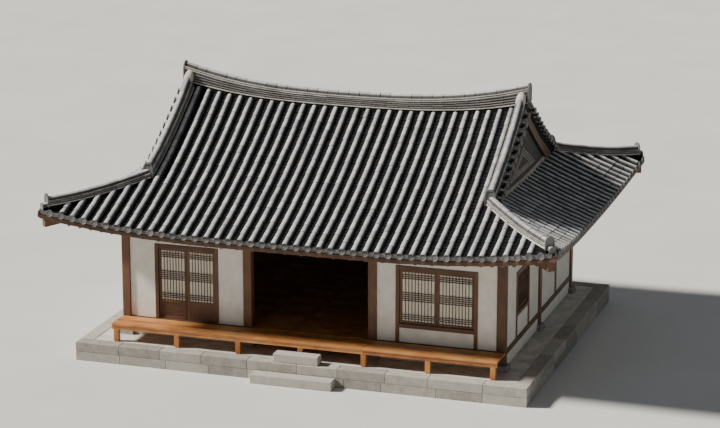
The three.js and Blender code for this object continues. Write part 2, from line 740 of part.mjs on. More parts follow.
const vergeRidgeX = gableX - 125; // centre line of the ridges that run down beside the gables
const vergeRidgeFrom = 60;
const vergeRidgeTo = gableFootY - 60;
const headPower = 6; // how soon its raised upper head levels out
function vergeRidge(side, front, grow = 0) {
  const { height, headRise, width, skirt, upturn } = vergeSize;
  const x = side * vergeRidgeX;
  const stations = stationsAlong(vergeRidgeFrom, vergeRidgeTo, 7, (y, share) => {
    const head = headRise * (1 - share) ** headPower;
    return { x, y: front * y, z: longTop(x, y) + upturn * share ** 4, head, across: [1, 0] };
  });
  const body = sweepSolid(stations, ({ head }) => {
    return ridgeSection(height + head + grow, width + 2 * grow, skirt);
  });
  const place = { x, y: front * vergeRidgeTo, z: longTop(vergeRidgeX, vergeRidgeTo) + vergeEnd.rise };
  return body.add(endTile({ ...place, out: [0, front] }, vergeEnd.height + grow, vergeEnd.width));
}

const hipRidgeFrom = vergeRidgeX - 120;
const hipRidgeTo = cornerX - 130;
function hipRidge(side, front) {
  const { height, width, skirt, upturn } = hipSize;
  const across = [side * Math.SQRT1_2, -front * Math.SQRT1_2];
  const out = [side * Math.SQRT1_2, front * Math.SQRT1_2];
  const stations = stationsAlong(hipRidgeFrom, hipRidgeTo, 6, (x, share) => {
    const y = x - hipLine;
    return { x: side * x, y: front * y, z: sideTop(x, y) + upturn * share ** 3, across };
  });
  const body = sweepSolid(stations, () => ridgeSection(height, width, skirt));
  const end = stations.at(-1);
  return body.add(endTile({ ...end, z: end.z + crestGap, out }, hipEnd.height, hipEnd.width));
}

const raisedBeds = [-1, 1].flatMap((end) => [longBed(end, gap, 300), sideBed(end, gap, 300)]);
piece("main_ridge", without(mainRidge(), raisedBeds), tile);
for (const [sideName, side] of [["left", -1], ["right", 1]])
  for (const [frontName, front] of [["front", -1], ["back", 1]]) {
    const verge = without(vergeRidge(side, front), [...raisedBeds, mainRidge(gap)]);
    piece(`verge_ridge_${frontName}_${sideName}`, verge, tile);
    const hip = without(hipRidge(side, front), [...raisedBeds, vergeRidge(side, front, gap)]);
    piece(`hip_ridge_${frontName}_${sideName}`, largest(hip), tile);
  }

// The largest body of a solid that a cut has left in several.
function largest(solid) {
  return solid.decompose().sort((a, b) => b.volume() - a.volume())[0];
}

// Stone platform with a base stone under each column

const platformX = wallX + 900;
const platformFront = -(wallY + 1150);
const platformBack = wallY + 900;
const columnPlan = [
  ...[-1, 1].flatMap((front) => [-1.5, -0.5, 0.5, 1.5].map((bay) => [bay * bayWidth, front * wallY])),
  [-wallX, 0],
  [wallX, 0],
];
const stoneRadius = { top: 225, bottom: 255 }; // to the corners of a square base stone
const stoneSeat = 20; // how deep a base stone sits in the platform
function stoneBase([x, y]) {
  const height = baseStone + stoneSeat;
  const geometry = new THREE.CylinderGeometry(stoneRadius.top, stoneRadius.bottom, height, 4);
  geometry.rotateX(Math.PI / 2);
  geometry.rotateZ(Math.PI / 4);
  geometry.translate(x, y, platformZ + (baseStone - stoneSeat) / 2);
  return toSolid(geometry);
}
const platform = block([-platformX, platformFront, 0], [platformX, platformBack, platformZ]);
piece("stone_platform", joined([platform, ...columnPlan.map(stoneBase)]), granite);

const stepDepth = 330;
const stepHalfWidth = 1000;
const stepLow = [-stepHalfWidth, platformFront - stepDepth, 0];
const stepHigh = [stepHalfWidth, platformFront - gap, platformZ / 2];
piece("front_step", block(stepLow, stepHigh), granite);

// Columns

const columnFoot = platformZ + baseStone + gap;
const column = ([x, y], grow = 0) => {
  const half = columnSide / 2 + grow;
  return block([x - half, y - half, columnFoot - grow], [x + half, y + half, columnTop + grow]);
};
const columnNames = [
  ...["front", "back"].flatMap((row) => [1, 2, 3, 4].map((k) => `column_${row}_${k}`)),
  "column_left_middle",
  "column_right_middle",
];
columnPlan.forEach((at, k) => piece(columnNames[k], column(at), darkTimber));
const grownColumns = columnPlan.map((at) => column(at, gap));
const grownBases = columnPlan.map((at) => stoneBase(at).translate([0, 0, gap]));

// Timber floor of the hall and rooms, on posts, and the narrow porch along the front

const floorThick = 60;
const legHalf = 60;
const floorLegs = [-3100, 0, 3100];
const railDepth = 20; // how far rails stand out from the plaster
const roomX = wallX - wallThick / 2 - railDepth - gap;
const roomY = wallY - wallThick / 2 - railDepth - gap;
const hallHalf = bayWidth / 2 - columnSide / 2 - gap;
const hallEdge = { y: wallY + columnSide / 2, deep: 150 }; // the edge beam across the mouth of the hall

const legs = (xs, ys, top) =>
  xs.flatMap((x) =>
    ys.map((y) => block([x - legHalf, y - legHalf, platformZ + gap], [x + legHalf, y + legHalf, top])),
  );
const floor = joined([
  block([-roomX, -roomY, floorZ - floorThick], [roomX, roomY, floorZ]),
  block([-hallHalf, -hallEdge.y, floorZ - hallEdge.deep], [hallHalf, -roomY + 10, floorZ]),
  ...legs(floorLegs, floorLegs, floorZ - floorThick + bite),
]);
piece("timber_floor", without(floor, [...grownColumns, ...grownBases]), floorTimber);

const porchBack = -(hallEdge.y + gap);
const porchFront = porchBack - 700;
const porchTop = floorZ - 15;
const porchX = wallX + columnSide / 2;
const porchBoards = 45;
const porchBeam = { front: porchFront + 20, back: porchFront + 90, deep: 140 };
const porchLegs = [-3, -2, -1, 0, 1, 2, 3].map((k) => (k * bayWidth) / 2);
const porch = joined([
  block([-porchX, porchFront, porchTop - porchBoards], [porchX, porchBack, porchTop]),
  block(
    [-porchX, porchBeam.front, porchTop - porchBeam.deep],
    [porchX, porchBeam.back, porchTop - porchBoards + bite],
  ),
  ...legs(porchLegs, [porchFront + 80], porchTop - 60),
]);
piece("front_porch", without(porch, grownBases), floorTimber);

const steppingStone = { halfWidth: 550, front: platformFront + 40, back: porchFront - 10, height: 210 };
piece(
  "stepping_stone",
  block(
    [-steppingStone.halfWidth, steppingStone.front, platformZ + gap],
    [steppingStone.halfWidth, steppingStone.back, platformZ + steppingStone.height],
  ),
  granite,
);

// Walls between the columns, each with its timber rails and the opening that its doors or window close

const wallTop = columnTop - gap;
const sillHeight = 140; // the lowest rail, whose top is level with the floor
const railHeight = 110;
const jambWidth = 90; // of the timbers beside an opening
const headHeight = 100; // of the timbers over and under it
const throughWall = 600;

// A wall bay seen along its length: centre on the wall line, clear length, and an opening or none.
function wallBay({ alongX, offset, centre, length, opening, rails }) {
  const half = length / 2 - columnSide / 2 - gap;
  const place = (from, to, bottom, top, thick) => {
    const across = [offset - thick / 2, offset + thick / 2];
    const along = [centre + from, centre + to];
    return alongX
      ? block([along[0], across[0], bottom], [along[1], across[1], top])
      : block([across[0], along[0], bottom], [across[1], along[1], top]);
  };
  const thick = wallThick + 2 * railDepth;
  const rail = (bottom, height) => place(-half, half, bottom, bottom + height, thick);
  const panel = place(-half, half, platformZ + gap, wallTop, wallThick);
  const sill = rail(floorZ - sillHeight, sillHeight);
  const parts = [panel, sill, ...rails.map((bottom) => rail(bottom, railHeight))];
  if (!opening) return joined(parts);
  const [low, high, reach] = [opening.bottom, opening.top, opening.halfWidth];
  parts.push(place(-reach - jambWidth, -reach, low - headHeight, high + headHeight, thick));
  parts.push(place(reach, reach + jambWidth, low - headHeight, high + headHeight, thick));
  parts.push(place(-reach - bite, reach + bite, low - headHeight, low + bite, thick));
  parts.push(place(-reach - bite, reach + bite, high - bite, high + headHeight, thick));
  return without(joined(parts), [place(-reach, reach, low, high, throughWall)]);
}

const leafThick = 40;
const leafSetBack = 20; // from the outer face of the plaster
const meetingStile = { half: 30, proud: 16 };

// The leaves that close an opening, a pair of them meeting at a proud stile.
function leaves({ alongX, offset, centre, opening, outward }) {
  const middle = offset + outward * (wallThick / 2 - leafSetBack - leafThick / 2);
  const plate = (from, to, bottom, top, depth) => {
    const across = [middle - depth / 2, middle + depth / 2];
    return alongX
      ? block([from, across[0], bottom], [to, across[1], top])
      : block([across[0], from, bottom], [across[1], to, top]);
  };
  const reach = opening.halfWidth - gap;
  const [bottom, top] = [opening.bottom + gap, opening.top - gap];
  const sheet = plate(centre - reach, centre + reach, bottom, top, leafThick);
  if (opening.leaves === 1) return sheet;
  const { half, proud } = meetingStile;
  return sheet.add(plate(centre - half, centre + half, bottom, top, leafThick + proud));
}

const door = { bottom: floorZ, top: floorZ + 1750, halfWidth: 720, leaves: 2, kind: "door" };
const wideWindow = { bottom: floorZ + 450, top: floorZ + 1750, halfWidth: 900, leaves: 2, kind: "window" };
const sideWindow = { bottom: floorZ + 600, top: floorZ + 1500, halfWidth: 520, leaves: 1, kind: "window" };
const backDoor = { bottom: floorZ + 300, top: floorZ + 1650, halfWidth: 700, leaves: 2, kind: "shutter" };
const middleRail = floorZ + 1150;
const topRail = wallTop - railHeight;
const [open, blank] = [[topRail], [middleRail, topRail]];
const bays = [
  { name: "front_left", alongX: true, outward: -1, centre: -bayWidth, opening: door, rails: open },
  { name: "front_right", alongX: true, outward: -1, centre: bayWidth, opening: wideWindow, rails: open },
  { name: "back_left", alongX: true, outward: 1, centre: -bayWidth, rails: blank },
  { name: "back_middle", alongX: true, outward: 1, centre: 0, opening: backDoor, rails: open },
  { name: "back_right", alongX: true, outward: 1, centre: bayWidth, rails: blank },
  { name: "left_front", alongX: false, outward: -1, centre: -bayDepth / 2, opening: sideWindow, rails: open },
  { name: "left_back", alongX: false, outward: -1, centre: bayDepth / 2, rails: blank },
  { name: "right_front", alongX: false, outward: 1, centre: -bayDepth / 2, opening: sideWindow, rails: open },
  { name: "right_back", alongX: false, outward: 1, centre: bayDepth / 2, rails: blank },
];
for (const bay of bays) {
  const offset = bay.outward * (bay.alongX ? wallY : wallX);
  const length = bay.alongX ? bayWidth : bayDepth;
  const plan = { ...bay, offset, length };
  piece(`wall_${bay.name}`, without(wallBay(plan), grownBases), plaster);
  if (!bay.opening) continue;
  const { kind } = bay.opening;
  piece(`${kind}_${bay.name}`, leaves(plan), kind === "shutter" ? darkTimber : paper);
}

export default house;
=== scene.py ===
# %% [markdown]
# # A hanok house under a hip-and-gable roof
#
# This lesson dresses a plain timber house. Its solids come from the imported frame, in metres, with
# the long side along X, the front towards -Y and the ground at Z = 0. The roof is what people see
# first: nearly two thousand convex clay tiles, laid in rows that sag like a hanging rope. So most
# of the work is to describe the form of the roof once and to let node trees lay tiles along it.

import math

import bmesh
import bpy
import numpy as np
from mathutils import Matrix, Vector


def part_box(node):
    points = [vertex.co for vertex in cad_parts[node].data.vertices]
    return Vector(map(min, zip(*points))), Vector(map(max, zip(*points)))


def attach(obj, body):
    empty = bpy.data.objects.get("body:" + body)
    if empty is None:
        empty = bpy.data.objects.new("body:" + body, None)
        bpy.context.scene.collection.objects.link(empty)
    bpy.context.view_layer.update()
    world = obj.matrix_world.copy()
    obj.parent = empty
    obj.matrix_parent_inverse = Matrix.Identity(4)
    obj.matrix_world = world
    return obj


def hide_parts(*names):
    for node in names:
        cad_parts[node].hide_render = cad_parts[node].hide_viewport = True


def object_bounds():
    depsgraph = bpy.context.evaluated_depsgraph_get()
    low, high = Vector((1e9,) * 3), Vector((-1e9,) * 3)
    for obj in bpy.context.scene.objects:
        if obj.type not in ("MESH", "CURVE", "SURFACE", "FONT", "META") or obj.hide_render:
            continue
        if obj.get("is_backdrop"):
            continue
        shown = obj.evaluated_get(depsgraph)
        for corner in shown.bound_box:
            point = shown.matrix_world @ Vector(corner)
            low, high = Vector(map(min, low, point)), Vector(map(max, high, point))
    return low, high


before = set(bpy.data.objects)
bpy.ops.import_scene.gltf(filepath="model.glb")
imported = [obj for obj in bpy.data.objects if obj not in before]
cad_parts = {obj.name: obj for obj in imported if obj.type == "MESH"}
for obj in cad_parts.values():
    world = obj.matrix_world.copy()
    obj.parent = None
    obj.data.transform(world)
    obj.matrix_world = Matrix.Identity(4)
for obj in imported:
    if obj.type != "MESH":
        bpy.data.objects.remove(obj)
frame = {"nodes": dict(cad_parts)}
cad_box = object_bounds()
print("frame box", [round(value, 2) for corner in cad_box for value in corner])

# %% [markdown]
# ## The form of the roof
#
# A hanok roof is curved twice. Seen from the front, the eaves rise to the corners. Seen in
# section, the slope steepens towards the ridge. One small set of functions gives the height of
# the tile bed anywhere, so that every row, ridge and eave board follows the same surface.

# %% The surface that the tiles lie on
GABLE_X = 4.35
GABLE_FOOT_Y = 2.98
CORNER_X = 6.2
CORNER_Y = 4.83
HIP_LINE = CORNER_X - CORNER_Y
EAVE_BOW = 0.2
CORNER_LIFT = 0.4
LIFT_POWER = 2.4
RIDGE_END_RISE = 0.2
RIDGE_END_POWER = 2.2
RIDGE_END_FADE = 1.5
EAVE_Z = 3.35
EAVE_SLOPE = 0.36
SLOPE_GAIN = 0.029


def corner_share(from_corner):
    """How much of a corner's lift is left at a distance from it along the eave."""
    return np.clip(1 - from_corner / CORNER_Y, 0, 1) ** LIFT_POWER


def eave_height(from_corner):
    return EAVE_Z + CORNER_LIFT * corner_share(from_corner)


def rise_from_eave(inwards):
    return EAVE_SLOPE * inwards + SLOPE_GAIN * inwards**2


def front_eave(x):
    return CORNER_Y - EAVE_BOW * (1 - corner_share(CORNER_X - np.abs(x)))


def side_eave(y):
    return CORNER_X - EAVE_BOW * (1 - corner_share(CORNER_Y - np.abs(y)))


def long_top(x, y):
    """Height of the front and back slopes."""
    towards_ridge = np.clip(1 - np.abs(y) / GABLE_FOOT_Y, 0, None) ** RIDGE_END_FADE
    end_rise = RIDGE_END_RISE * (np.abs(x) / GABLE_X) ** RIDGE_END_POWER * towards_ridge
    return eave_height(CORNER_X - np.abs(x)) + rise_from_eave(front_eave(x) - np.abs(y)) + end_rise


def side_top(x, y):
    """Height of the left and right slopes."""
    return eave_height(CORNER_Y - np.abs(y)) + rise_from_eave(side_eave(y) - np.abs(x))


print("ridge middle", round(float(long_top(0, 0)), 3), "ridge end", round(float(long_top(GABLE_X, 0)), 3))

# %% [markdown]
# ## Nodes and colours
#
# A shader tree and a geometry tree are built alike: add a node, set what it needs and link it.
# One function does that for both. Colours are written as the hex values that a paint chart gives,
# and one function turns them into the linear values that Blender calculates with.


# %% Nodes and colours
def add(tree, kind, inputs=None, **settings):
    """Adds a node. An input's value may be a plain value or the output socket to link from."""
    node = tree.nodes.new(kind)
    for name, value in settings.items():
        setattr(node, name, value)
    for key, value in (inputs or {}).items():
        if isinstance(value, bpy.types.NodeSocket):
            tree.links.new(value, node.inputs[key])
        else:
            node.inputs[key].default_value = value
    return node


def linear(hex_colour):
    channels = [int(hex_colour[k : k + 2], 16) / 255 for k in (1, 3, 5)]
    return [c / 12.92 if c <= 0.04045 else ((c + 0.055) / 1.055) ** 2.4 for c in channels] + [1]


print("white is", linear("#ffffff"))

# %% [markdown]
# ## Meshes
#
# Tiles, poles and stones are closed skins through a few rings of points, and one function lists
# their faces. A path is a list of points. A sweep carries a flat section along it, keeping the
# section upright, which suits mortar cores and eave boards.


# %% Skins and sweeps
def ring_faces(rings, count):
    """Faces of a closed skin through rings of count points each, with both ends capped."""
    faces = []
    for start in range(0, (rings - 1) * count, count):
        for k in range(count):
            after = (k + 1) % count
            faces.append((start + k, start + after, start + count + after, start + count + k))
    last = (rings - 1) * count
    return faces + [tuple(reversed(range(count))), tuple(range(last, last + count))]


def mesh_from(name, points, faces, smooth_below=None):
    mesh = bpy.data.meshes.new(name)
    mesh.from_pydata([tuple(map(float, point)) for point in points], [], faces)
    work = bmesh.new()
    work.from_mesh(mesh)
    bmesh.ops.recalc_face_normals(work, faces=work.faces)
    work.to_mesh(mesh)
    work.free()
    if smooth_below:
        mesh.shade_smooth()
        mesh.set_sharp_from_angle(angle=math.radians(smooth_below))
    return mesh


def ring_mesh(name, rings, smooth_below=None):
    """A closed mesh through rings, each a place along X and an outline [(across, up), ...]."""
    points = [(x, y, z) for x, outline in rings for y, z in outline]
    return mesh_from(name, points, ring_faces(len(rings), len(rings[0][1])), smooth_below)


def sweep(path, section):
    """Points and faces of a section [(across, up), ...] carried upright along a path."""
    path, section = np.asarray(path, float), np.asarray(section, float)
    heading = np.gradient(path[:, :2], axis=0)
    heading /= np.linalg.norm(heading, axis=1)[:, None]
    across = np.column_stack([heading[:, 1], -heading[:, 0], np.zeros(len(path))])
    sections = section if section.ndim == 3 else np.repeat(section[None], len(path), 0)
    points = path[:, None] + across[:, None] * sections[..., :1]
    points[..., 2] += sections[..., 1]
    return points.reshape(-1, 3), ring_faces(len(path), sections.shape[1])


def joined(parts):
    """Joins several (points, faces) into one."""
    points, faces, start = [], [], 0
    for part_points, part_faces in parts:
        points.append(part_points)
        faces += [tuple(start + k for k in face) for face in part_faces]
        start += len(part_points)
    return np.concatenate(points), faces


print("a box is", len(ring_faces(2, 4)), "faces")

# %% [markdown]
# Squared timbers and stones are boxes with their edges eased, because no sawn or dressed edge is
# perfectly sharp and the small chamfer is what catches the light. Each box carries a "tint" and a
# "grain" position whose first number runs along its longest side.

# %% Eased boxes
SQUARE = ((0, 0), (1, 0), (1, 1), (0, 1))
GRAIN_SHIFT = 9


def eased_boxes(name, boxes, ease):
    """Boxes (low corner, high corner) in one mesh, with eased edges and a grain along each box."""
    work = bmesh.new()
    grain_layer = work.verts.layers.float_vector.new("grain")
    tint_layer = work.verts.layers.float.new("tint")
    draw = np.random.default_rng(len(boxes))
    for low, high in boxes:
        low, high = np.minimum(low, high), np.maximum(low, high)
        corners = [(x, y, z) for z in (0, 1) for x, y in SQUARE]
        verts = [work.verts.new(low + (high - low) * corner) for corner in corners]
        made = [work.faces.new([verts[k] for k in face]) for face in ring_faces(2, 4)]
        if ease:
            edges = list(dict.fromkeys(edge for face in made for edge in face.edges))
            eased = bmesh.ops.bevel(work, geom=edges, offset=ease, segments=1, affect="EDGES")
            verts = {vert for face in eased["faces"] for vert in face.verts}
        order = np.argsort(-(high - low))
        shift = draw.uniform(-GRAIN_SHIFT, GRAIN_SHIFT, 3)
        tint = draw.uniform()
        for vert in verts:
            vert[grain_layer] = Vector((np.array(vert.co)[order] + shift).tolist())
            vert[tint_layer] = tint
    bmesh.ops.recalc_face_normals(work, faces=work.faces)
    mesh = bpy.data.meshes.new(name)
    work.to_mesh(mesh)
    work.free()
    return mesh


# %% Put a piece in the scene and finish it
def put_in_scene(name, mesh):
    piece = bpy.data.objects.new(name, mesh)
    bpy.context.scene.collection.objects.link(piece)
    return piece


def finish_piece(piece, material, slot, *nodes):
    """Gives a piece its finish and the root body, and hides the frame's nodes that it stands for. slot is not
    used.
    """
    if isinstance(piece, bpy.types.Mesh):
        piece = put_in_scene(piece.name, piece)
    if not piece.data.materials:
        piece.data.materials.append(material)
    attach(piece, "root")
    if nodes:
        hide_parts(*nodes)
    piece.data.calc_loop_triangles()
    print(f"{piece.name}: {len(piece.data.loop_triangles)} triangles")


# %% [markdown]
# ## Node trees that lay things out
#
# Tiles, ridge courses, poles and lattice bars are all one shape set out many times. Two trees
# share the work. Both take bare guide points that carry an "along" direction and a "size". The
# first tree turns guide edges into curves and spaces the shape evenly along them, as a roofer
# works down a row. The second sets one shape on each point. The shapes lie a little unevenly,
# from a fixed seed, and each gets a "tint" so that a finish can vary from tile to tile.

# %% The two trees
TREE_INPUTS = {
    "Guides": "Geometry",
    "Shape": "Object",
    "Spacing": "Float",
    "Unevenness": "Float",
    "Seed": "Int",
    "Finish": "Material",
}
TINT_REACH = 0.3


def laying_tree(name, in_rows):
    tree = bpy.data.node_groups.new(name, "GeometryNodeTree")
    for label, kind in TREE_INPUTS.items():
        tree.interface.new_socket(label, in_out="INPUT", socket_type="NodeSocket" + kind)
    tree.interface.new_socket("Laid", in_out="OUTPUT", socket_type="NodeSocketGeometry")
    given = add(tree, "NodeGroupInput").outputs
    along, size = (
        add(tree, "GeometryNodeInputNamedAttribute", {"Name": label}, data_type="FLOAT_VECTOR").outputs[0]
        for label in ("along", "size")
    )
    places = given["Guides"]
    if in_rows:
        curves = add(tree, "GeometryNodeMeshToCurve", {"Mesh": places}).outputs["Curve"]
        fit = add(tree, "ShaderNodeSeparateXYZ", {"Vector": size}).outputs["X"]
        pitch = add(tree, "ShaderNodeMath", {0: given["Spacing"], 1: fit}, operation="MULTIPLY").outputs[0]
        evenly = {"Curve": curves, "Length": pitch}
        places = add(tree, "GeometryNodeResampleCurve", evenly, mode="LENGTH").outputs["Curve"]
    least = add(tree, "ShaderNodeMath", {0: given["Unevenness"], 1: -1.0}, operation="MULTIPLY").outputs[0]
    nudge_range = {"Min": least, "Max": given["Unevenness"], "Seed": given["Seed"]}
    nudge = add(tree, "FunctionNodeRandomValue", nudge_range, data_type="FLOAT_VECTOR").outputs["Value"]
    nudged = add(tree, "GeometryNodeSetPosition", {"Geometry": places, "Offset": nudge}).outputs["Geometry"]
    headed = add(tree, "FunctionNodeAlignRotationToVector", {"Vector": along}, axis="X").outputs[0]
    standing = {"Rotation": headed, "Vector": (0, 0, 1)}
    upright = add(tree, "FunctionNodeAlignRotationToVector", standing, axis="Z", pivot_axis="X").outputs[0]
    shape = add(tree, "GeometryNodeObjectInfo", {"Object": given["Shape"]}).outputs["Geometry"]
    setting = {"Points": nudged, "Instance": shape, "Rotation": upright, "Scale": size}
    laid = add(tree, "GeometryNodeInstanceOnPoints", setting).outputs["Instances"]
    # A Random Value node has a pair of limits and an output for each kind of number: floats come second.
    tint_range = {2: -TINT_REACH, 3: TINT_REACH, "Seed": given["Seed"]}
    tint = add(tree, "FunctionNodeRandomValue", tint_range, data_type="FLOAT").outputs[1]
    tinting = {"Geometry": laid, "Name": "tint", "Value": tint}
    tinted = add(tree, "GeometryNodeStoreNamedAttribute", tinting, data_type="FLOAT", domain="INSTANCE")
    real = add(tree, "GeometryNodeRealizeInstances", {"Geometry": tinted.outputs[0]}).outputs[0]
    finished = add(tree, "GeometryNodeSetMaterial", {"Geometry": real, "Material": given["Finish"]})
    add(tree, "NodeGroupOutput", {"Laid": finished.outputs[0]})
    return tree


row_tree = laying_tree("lay in rows", True)
point_tree = laying_tree("set on points", False)
print(len(row_tree.nodes), "and", len(point_tree.nodes), "nodes in the two trees")

# %% [markdown]
# A tree is run from here. The guides go in as a bare mesh, the result comes back as a plain mesh,
# and the modifier is taken off again. A row is seldom a whole number of tiles long, so each row's
# spacing and tiles are shortened a little until they fit.

# %% Run a tree
ROUNDING = 0.9999


def lay(name, tree, points, edges, along, size, shape, material, spacing, unevenness, seed):
    """Runs a tree on guide points and keeps the result as a plain mesh."""
    guides = bpy.data.meshes.new("guides")
    guides.from_pydata(np.asarray(points, float).tolist(), edges, [])
    for label, values in (("along", along), ("size", size)):
        layer = guides.attributes.new(label, "FLOAT_VECTOR", "POINT")
        layer.data.foreach_set("vector", np.asarray(values, float).ravel())
    piece = put_in_scene(name, guides)
    pattern = put_in_scene("pattern", shape)
    modifier = piece.modifiers.new("lay", "NODES")
    modifier.node_group = tree
    values = {
        "Shape": pattern,
        "Spacing": spacing,
        "Unevenness": unevenness,
        "Seed": seed,
        "Finish": material,
    }
    for item in tree.interface.items_tree:
        if item.name in values:
            modifier[item.identifier] = values[item.name]
    graph = bpy.context.evaluated_depsgraph_get()
    evaluated = piece.evaluated_get(graph)
    laid = bpy.data.meshes.new_from_object(evaluated, preserve_all_data_layers=True, depsgraph=graph)
    laid.name = name
    piece.modifiers.clear()
    piece.data = laid
    bpy.data.objects.remove(pattern)
    return piece


def fit_of(row, spacing):
    """How much a piece is shortened so that a whole number of them fills a row."""
    length = np.linalg.norm(np.diff(row, axis=0), axis=1).sum()
    return ROUNDING * length / (math.ceil(length / spacing) * spacing)


def lay_rows(name, rows, spacing, shape, material, unevenness, seed):
    """Lays a shape along rows of points, each headed from its first point to its last."""
    points, edges, along, size = [], [], [], []
    for row in rows:
        start = len(points)
        edges += [(k, k + 1) for k in range(start, start + len(row) - 1)]
        points += list(row)
        along += list(np.gradient(row, axis=0))
        size += [(fit_of(row, spacing), 1, 1)] * len(row)
    return lay(name, row_tree, points, edges, along, size, shape, material, spacing, unevenness, seed)


def set_on(name, points, along, shape, material, seed, size=(1, 1, 1), unevenness=0.0):
    """Sets a shape on each point, headed along that point's own direction."""
    sizes = np.broadcast_to(size, (len(points), 3))
    return lay(name, point_tree, points, [], along, sizes, shape, material, 1.0, unevenness, seed)


# %% [markdown]
# ## Clay for the tiles
#
# The tiles are unglazed clay, fired in smoke until they turn charcoal grey. New ones have a thin
# silvery carbon skin. Sun and rain bleach the crowns of the convex tiles to a pale dusty grey, and
# their pale crowns also stand for a painted highlight. Their flanks are painted darker, and the
# troughs between them nearly black: both are painted shade. The finishes share one build: a mottle
# half a metre broad, stains of 5 cm, a change from tile to tile and a grain of 4 mm. On the convex
# tiles, the colour follows how far the surface faces up: crowns stay pale, flanks are painted darker.


# %% What every finish needs
def new_material(name):
    material = bpy.data.materials.new(name)
    material.use_nodes = True
    material.node_tree.nodes.clear()
    return material, material.node_tree


def pattern_colour(tree, patterns, stops):
    """A colour ramp of (place, hex) stops over the sum of patterns, each times its weight."""
    total = 0.0
    for value, weight in patterns:
        weighing = {0: value, 1: weight, 2: total}
        total = add(tree, "ShaderNodeMath", weighing, operation="MULTIPLY_ADD").outputs[0]
    ramp = add(tree, "ShaderNodeValToRGB", {"Fac": total})
    elements = ramp.color_ramp.elements
    while len(elements) < len(stops):
        elements.new(1)
    for element, (place, colour) in zip(elements, stops):
        element.position = place
        element.color = linear(colour)
    return ramp.outputs["Color"]


def close_material(tree, colour, roughness, bumps=(), mirror=0.5, **settings):
    """Ends a material with bumps of (pattern, strength, depth), the finest first, and its shader."""
    look = {"Base Color": colour, "Roughness": roughness, "Specular IOR Level": mirror}
    for pattern, strength, depth in bumps:
        relief = {"Height": pattern, "Strength": strength, "Distance": depth}
        if "Normal" in look:
            relief["Normal"] = look["Normal"]
        look["Normal"] = add(tree, "ShaderNodeBump", relief, **settings).outputs["Normal"]
    shader = add(tree, "ShaderNodeBsdfPrincipled", look)
    add(tree, "ShaderNodeOutputMaterial", {"Surface": shader.outputs["BSDF"]})


# %% Fired clay
GRAIN_DEPTH = 0.002
FLANK_FACING = 0.5
CROWN_FACING = 0.84
ROUGHNESS_REACH = 0.12
TILE_SHARE, MOTTLE_SHARE, STAIN_SHARE = 0.42, 0.28, 0.45


def fired_clay(name, stops, roughness, flank=1.0, mirror=0.5):
    """Smoke-fired roof clay: matt. flank is how dark its steep sides are painted beside its crowns: painted
    shade.
    """
    material, tree = new_material(name)
    place = add(tree, "ShaderNodeTexCoord").outputs["Object"]
    tint = add(tree, "ShaderNodeAttribute", attribute_name="tint").outputs["Fac"]
    mottle = add(tree, "ShaderNodeTexNoise", {"Vector": place, "Scale": 1.7, "Detail": 4.0}).outputs[0]
    soaked = {"Vector": place, "Scale": 22.0, "Detail": 5.0, "Roughness": 0.65}
    stain = add(tree, "ShaderNodeTexNoise", soaked).outputs[0]
    grain = add(tree, "ShaderNodeTexNoise", {"Vector": place, "Scale": 260.0, "Detail": 3.0}).outputs[0]
    patterns = [(tint, TILE_SHARE), (mottle, MOTTLE_SHARE), (stain, STAIN_SHARE)]
    colour = pattern_colour(tree, patterns, stops)
    # Steep sides are darkened by how little they face up: painted shade, along with the real bleach of the
    # crowns.
    if flank < 1:
        facing = add(tree, "ShaderNodeNewGeometry").outputs["Normal"]
        upwards = add(tree, "ShaderNodeSeparateXYZ", {"Vector": facing}).outputs["Z"]
        bleach_and_painted_shade = {"Value": upwards, "From Min": FLANK_FACING, "From Max": CROWN_FACING, "To Min": flank}
        crown = add(tree, "ShaderNodeMapRange", bleach_and_painted_shade, interpolation_type="SMOOTHSTEP").outputs["Result"]
        shaded = add(tree, "ShaderNodeVectorMath", {0: colour, 3: crown}, operation="SCALE")
        colour = shaded.outputs["Vector"]
    wear = {"Value": stain, "To Min": roughness - ROUGHNESS_REACH, "To Max": roughness + ROUGHNESS_REACH}
    rough = add(tree, "ShaderNodeMapRange", wear).outputs["Result"]
    close_material(tree, colour, rough, [(grain, 0.5, GRAIN_DEPTH)], mirror)
    return material


# Pale crowns are partly real bleach and partly painted highlight; flank=0.1 paints the flanks dark as shade.
crown_stops_with_painted_highlight = [(0.2, "#939294"), (0.5, "#c6c4c1"), (0.8, "#e2e0da")]
weathered_clay_painted_light_and_shade = fired_clay("smoke-fired clay, sun-bleached", crown_stops_with_painted_highlight, 0.6, flank=0.1)
# Charcoal clay darkened to near black and made to reflect little: painted shade for troughs, ridge feet and
# tile bed.
painted_shade_stops = [(0.2, "#0f1012"), (0.55, "#1b1c1f"), (0.85, "#2c2c2e")]
painted_shade_clay = fired_clay("smoke-fired clay, damp", painted_shade_stops, 0.72, mirror=0.15)
ridge_stops = [(0.2, "#585655"), (0.5, "#7a7775"), (0.85, "#9d9a97")]
ridge_clay = fired_clay("smoke-fired clay, ridge courses", ridge_stops, 0.7)
end_stops = [(0.2, "#5c5b5c"), (0.5, "#7b7977"), (0.85, "#a3a19d")]
end_clay = fired_clay("smoke-fired clay, end tiles", end_stops, 0.62)
print(len(weathered_clay_painted_light_and_shade.node_tree.nodes), "nodes in the bleached clay")

# %% [markdown]
# ## Roof tiles
#
# Each row that you see running down the roof is made of half-round tiles about 30 cm long. They
# taper a little, and the wide lower end of one laps over the narrow upper end of the next, which
# draws the fine joints across every row. Between the rows lie troughs of wide, shallow tiles, of
# which only the lower third shows. Both shapes have some thirty triangles, because they are
# repeated by the thousand.

# %% The two roof tiles
ROW_PITCH = 0.275
TILE_LENGTH = 0.3
CONVEX_SPACING = 0.27
CONVEX_RADII = (0.07, 0.079)
CONVEX_LIFT = 0.035
HALF_ROUND = np.radians([-90, -68, -45, -22, 0, 22, 45, 68, 90])


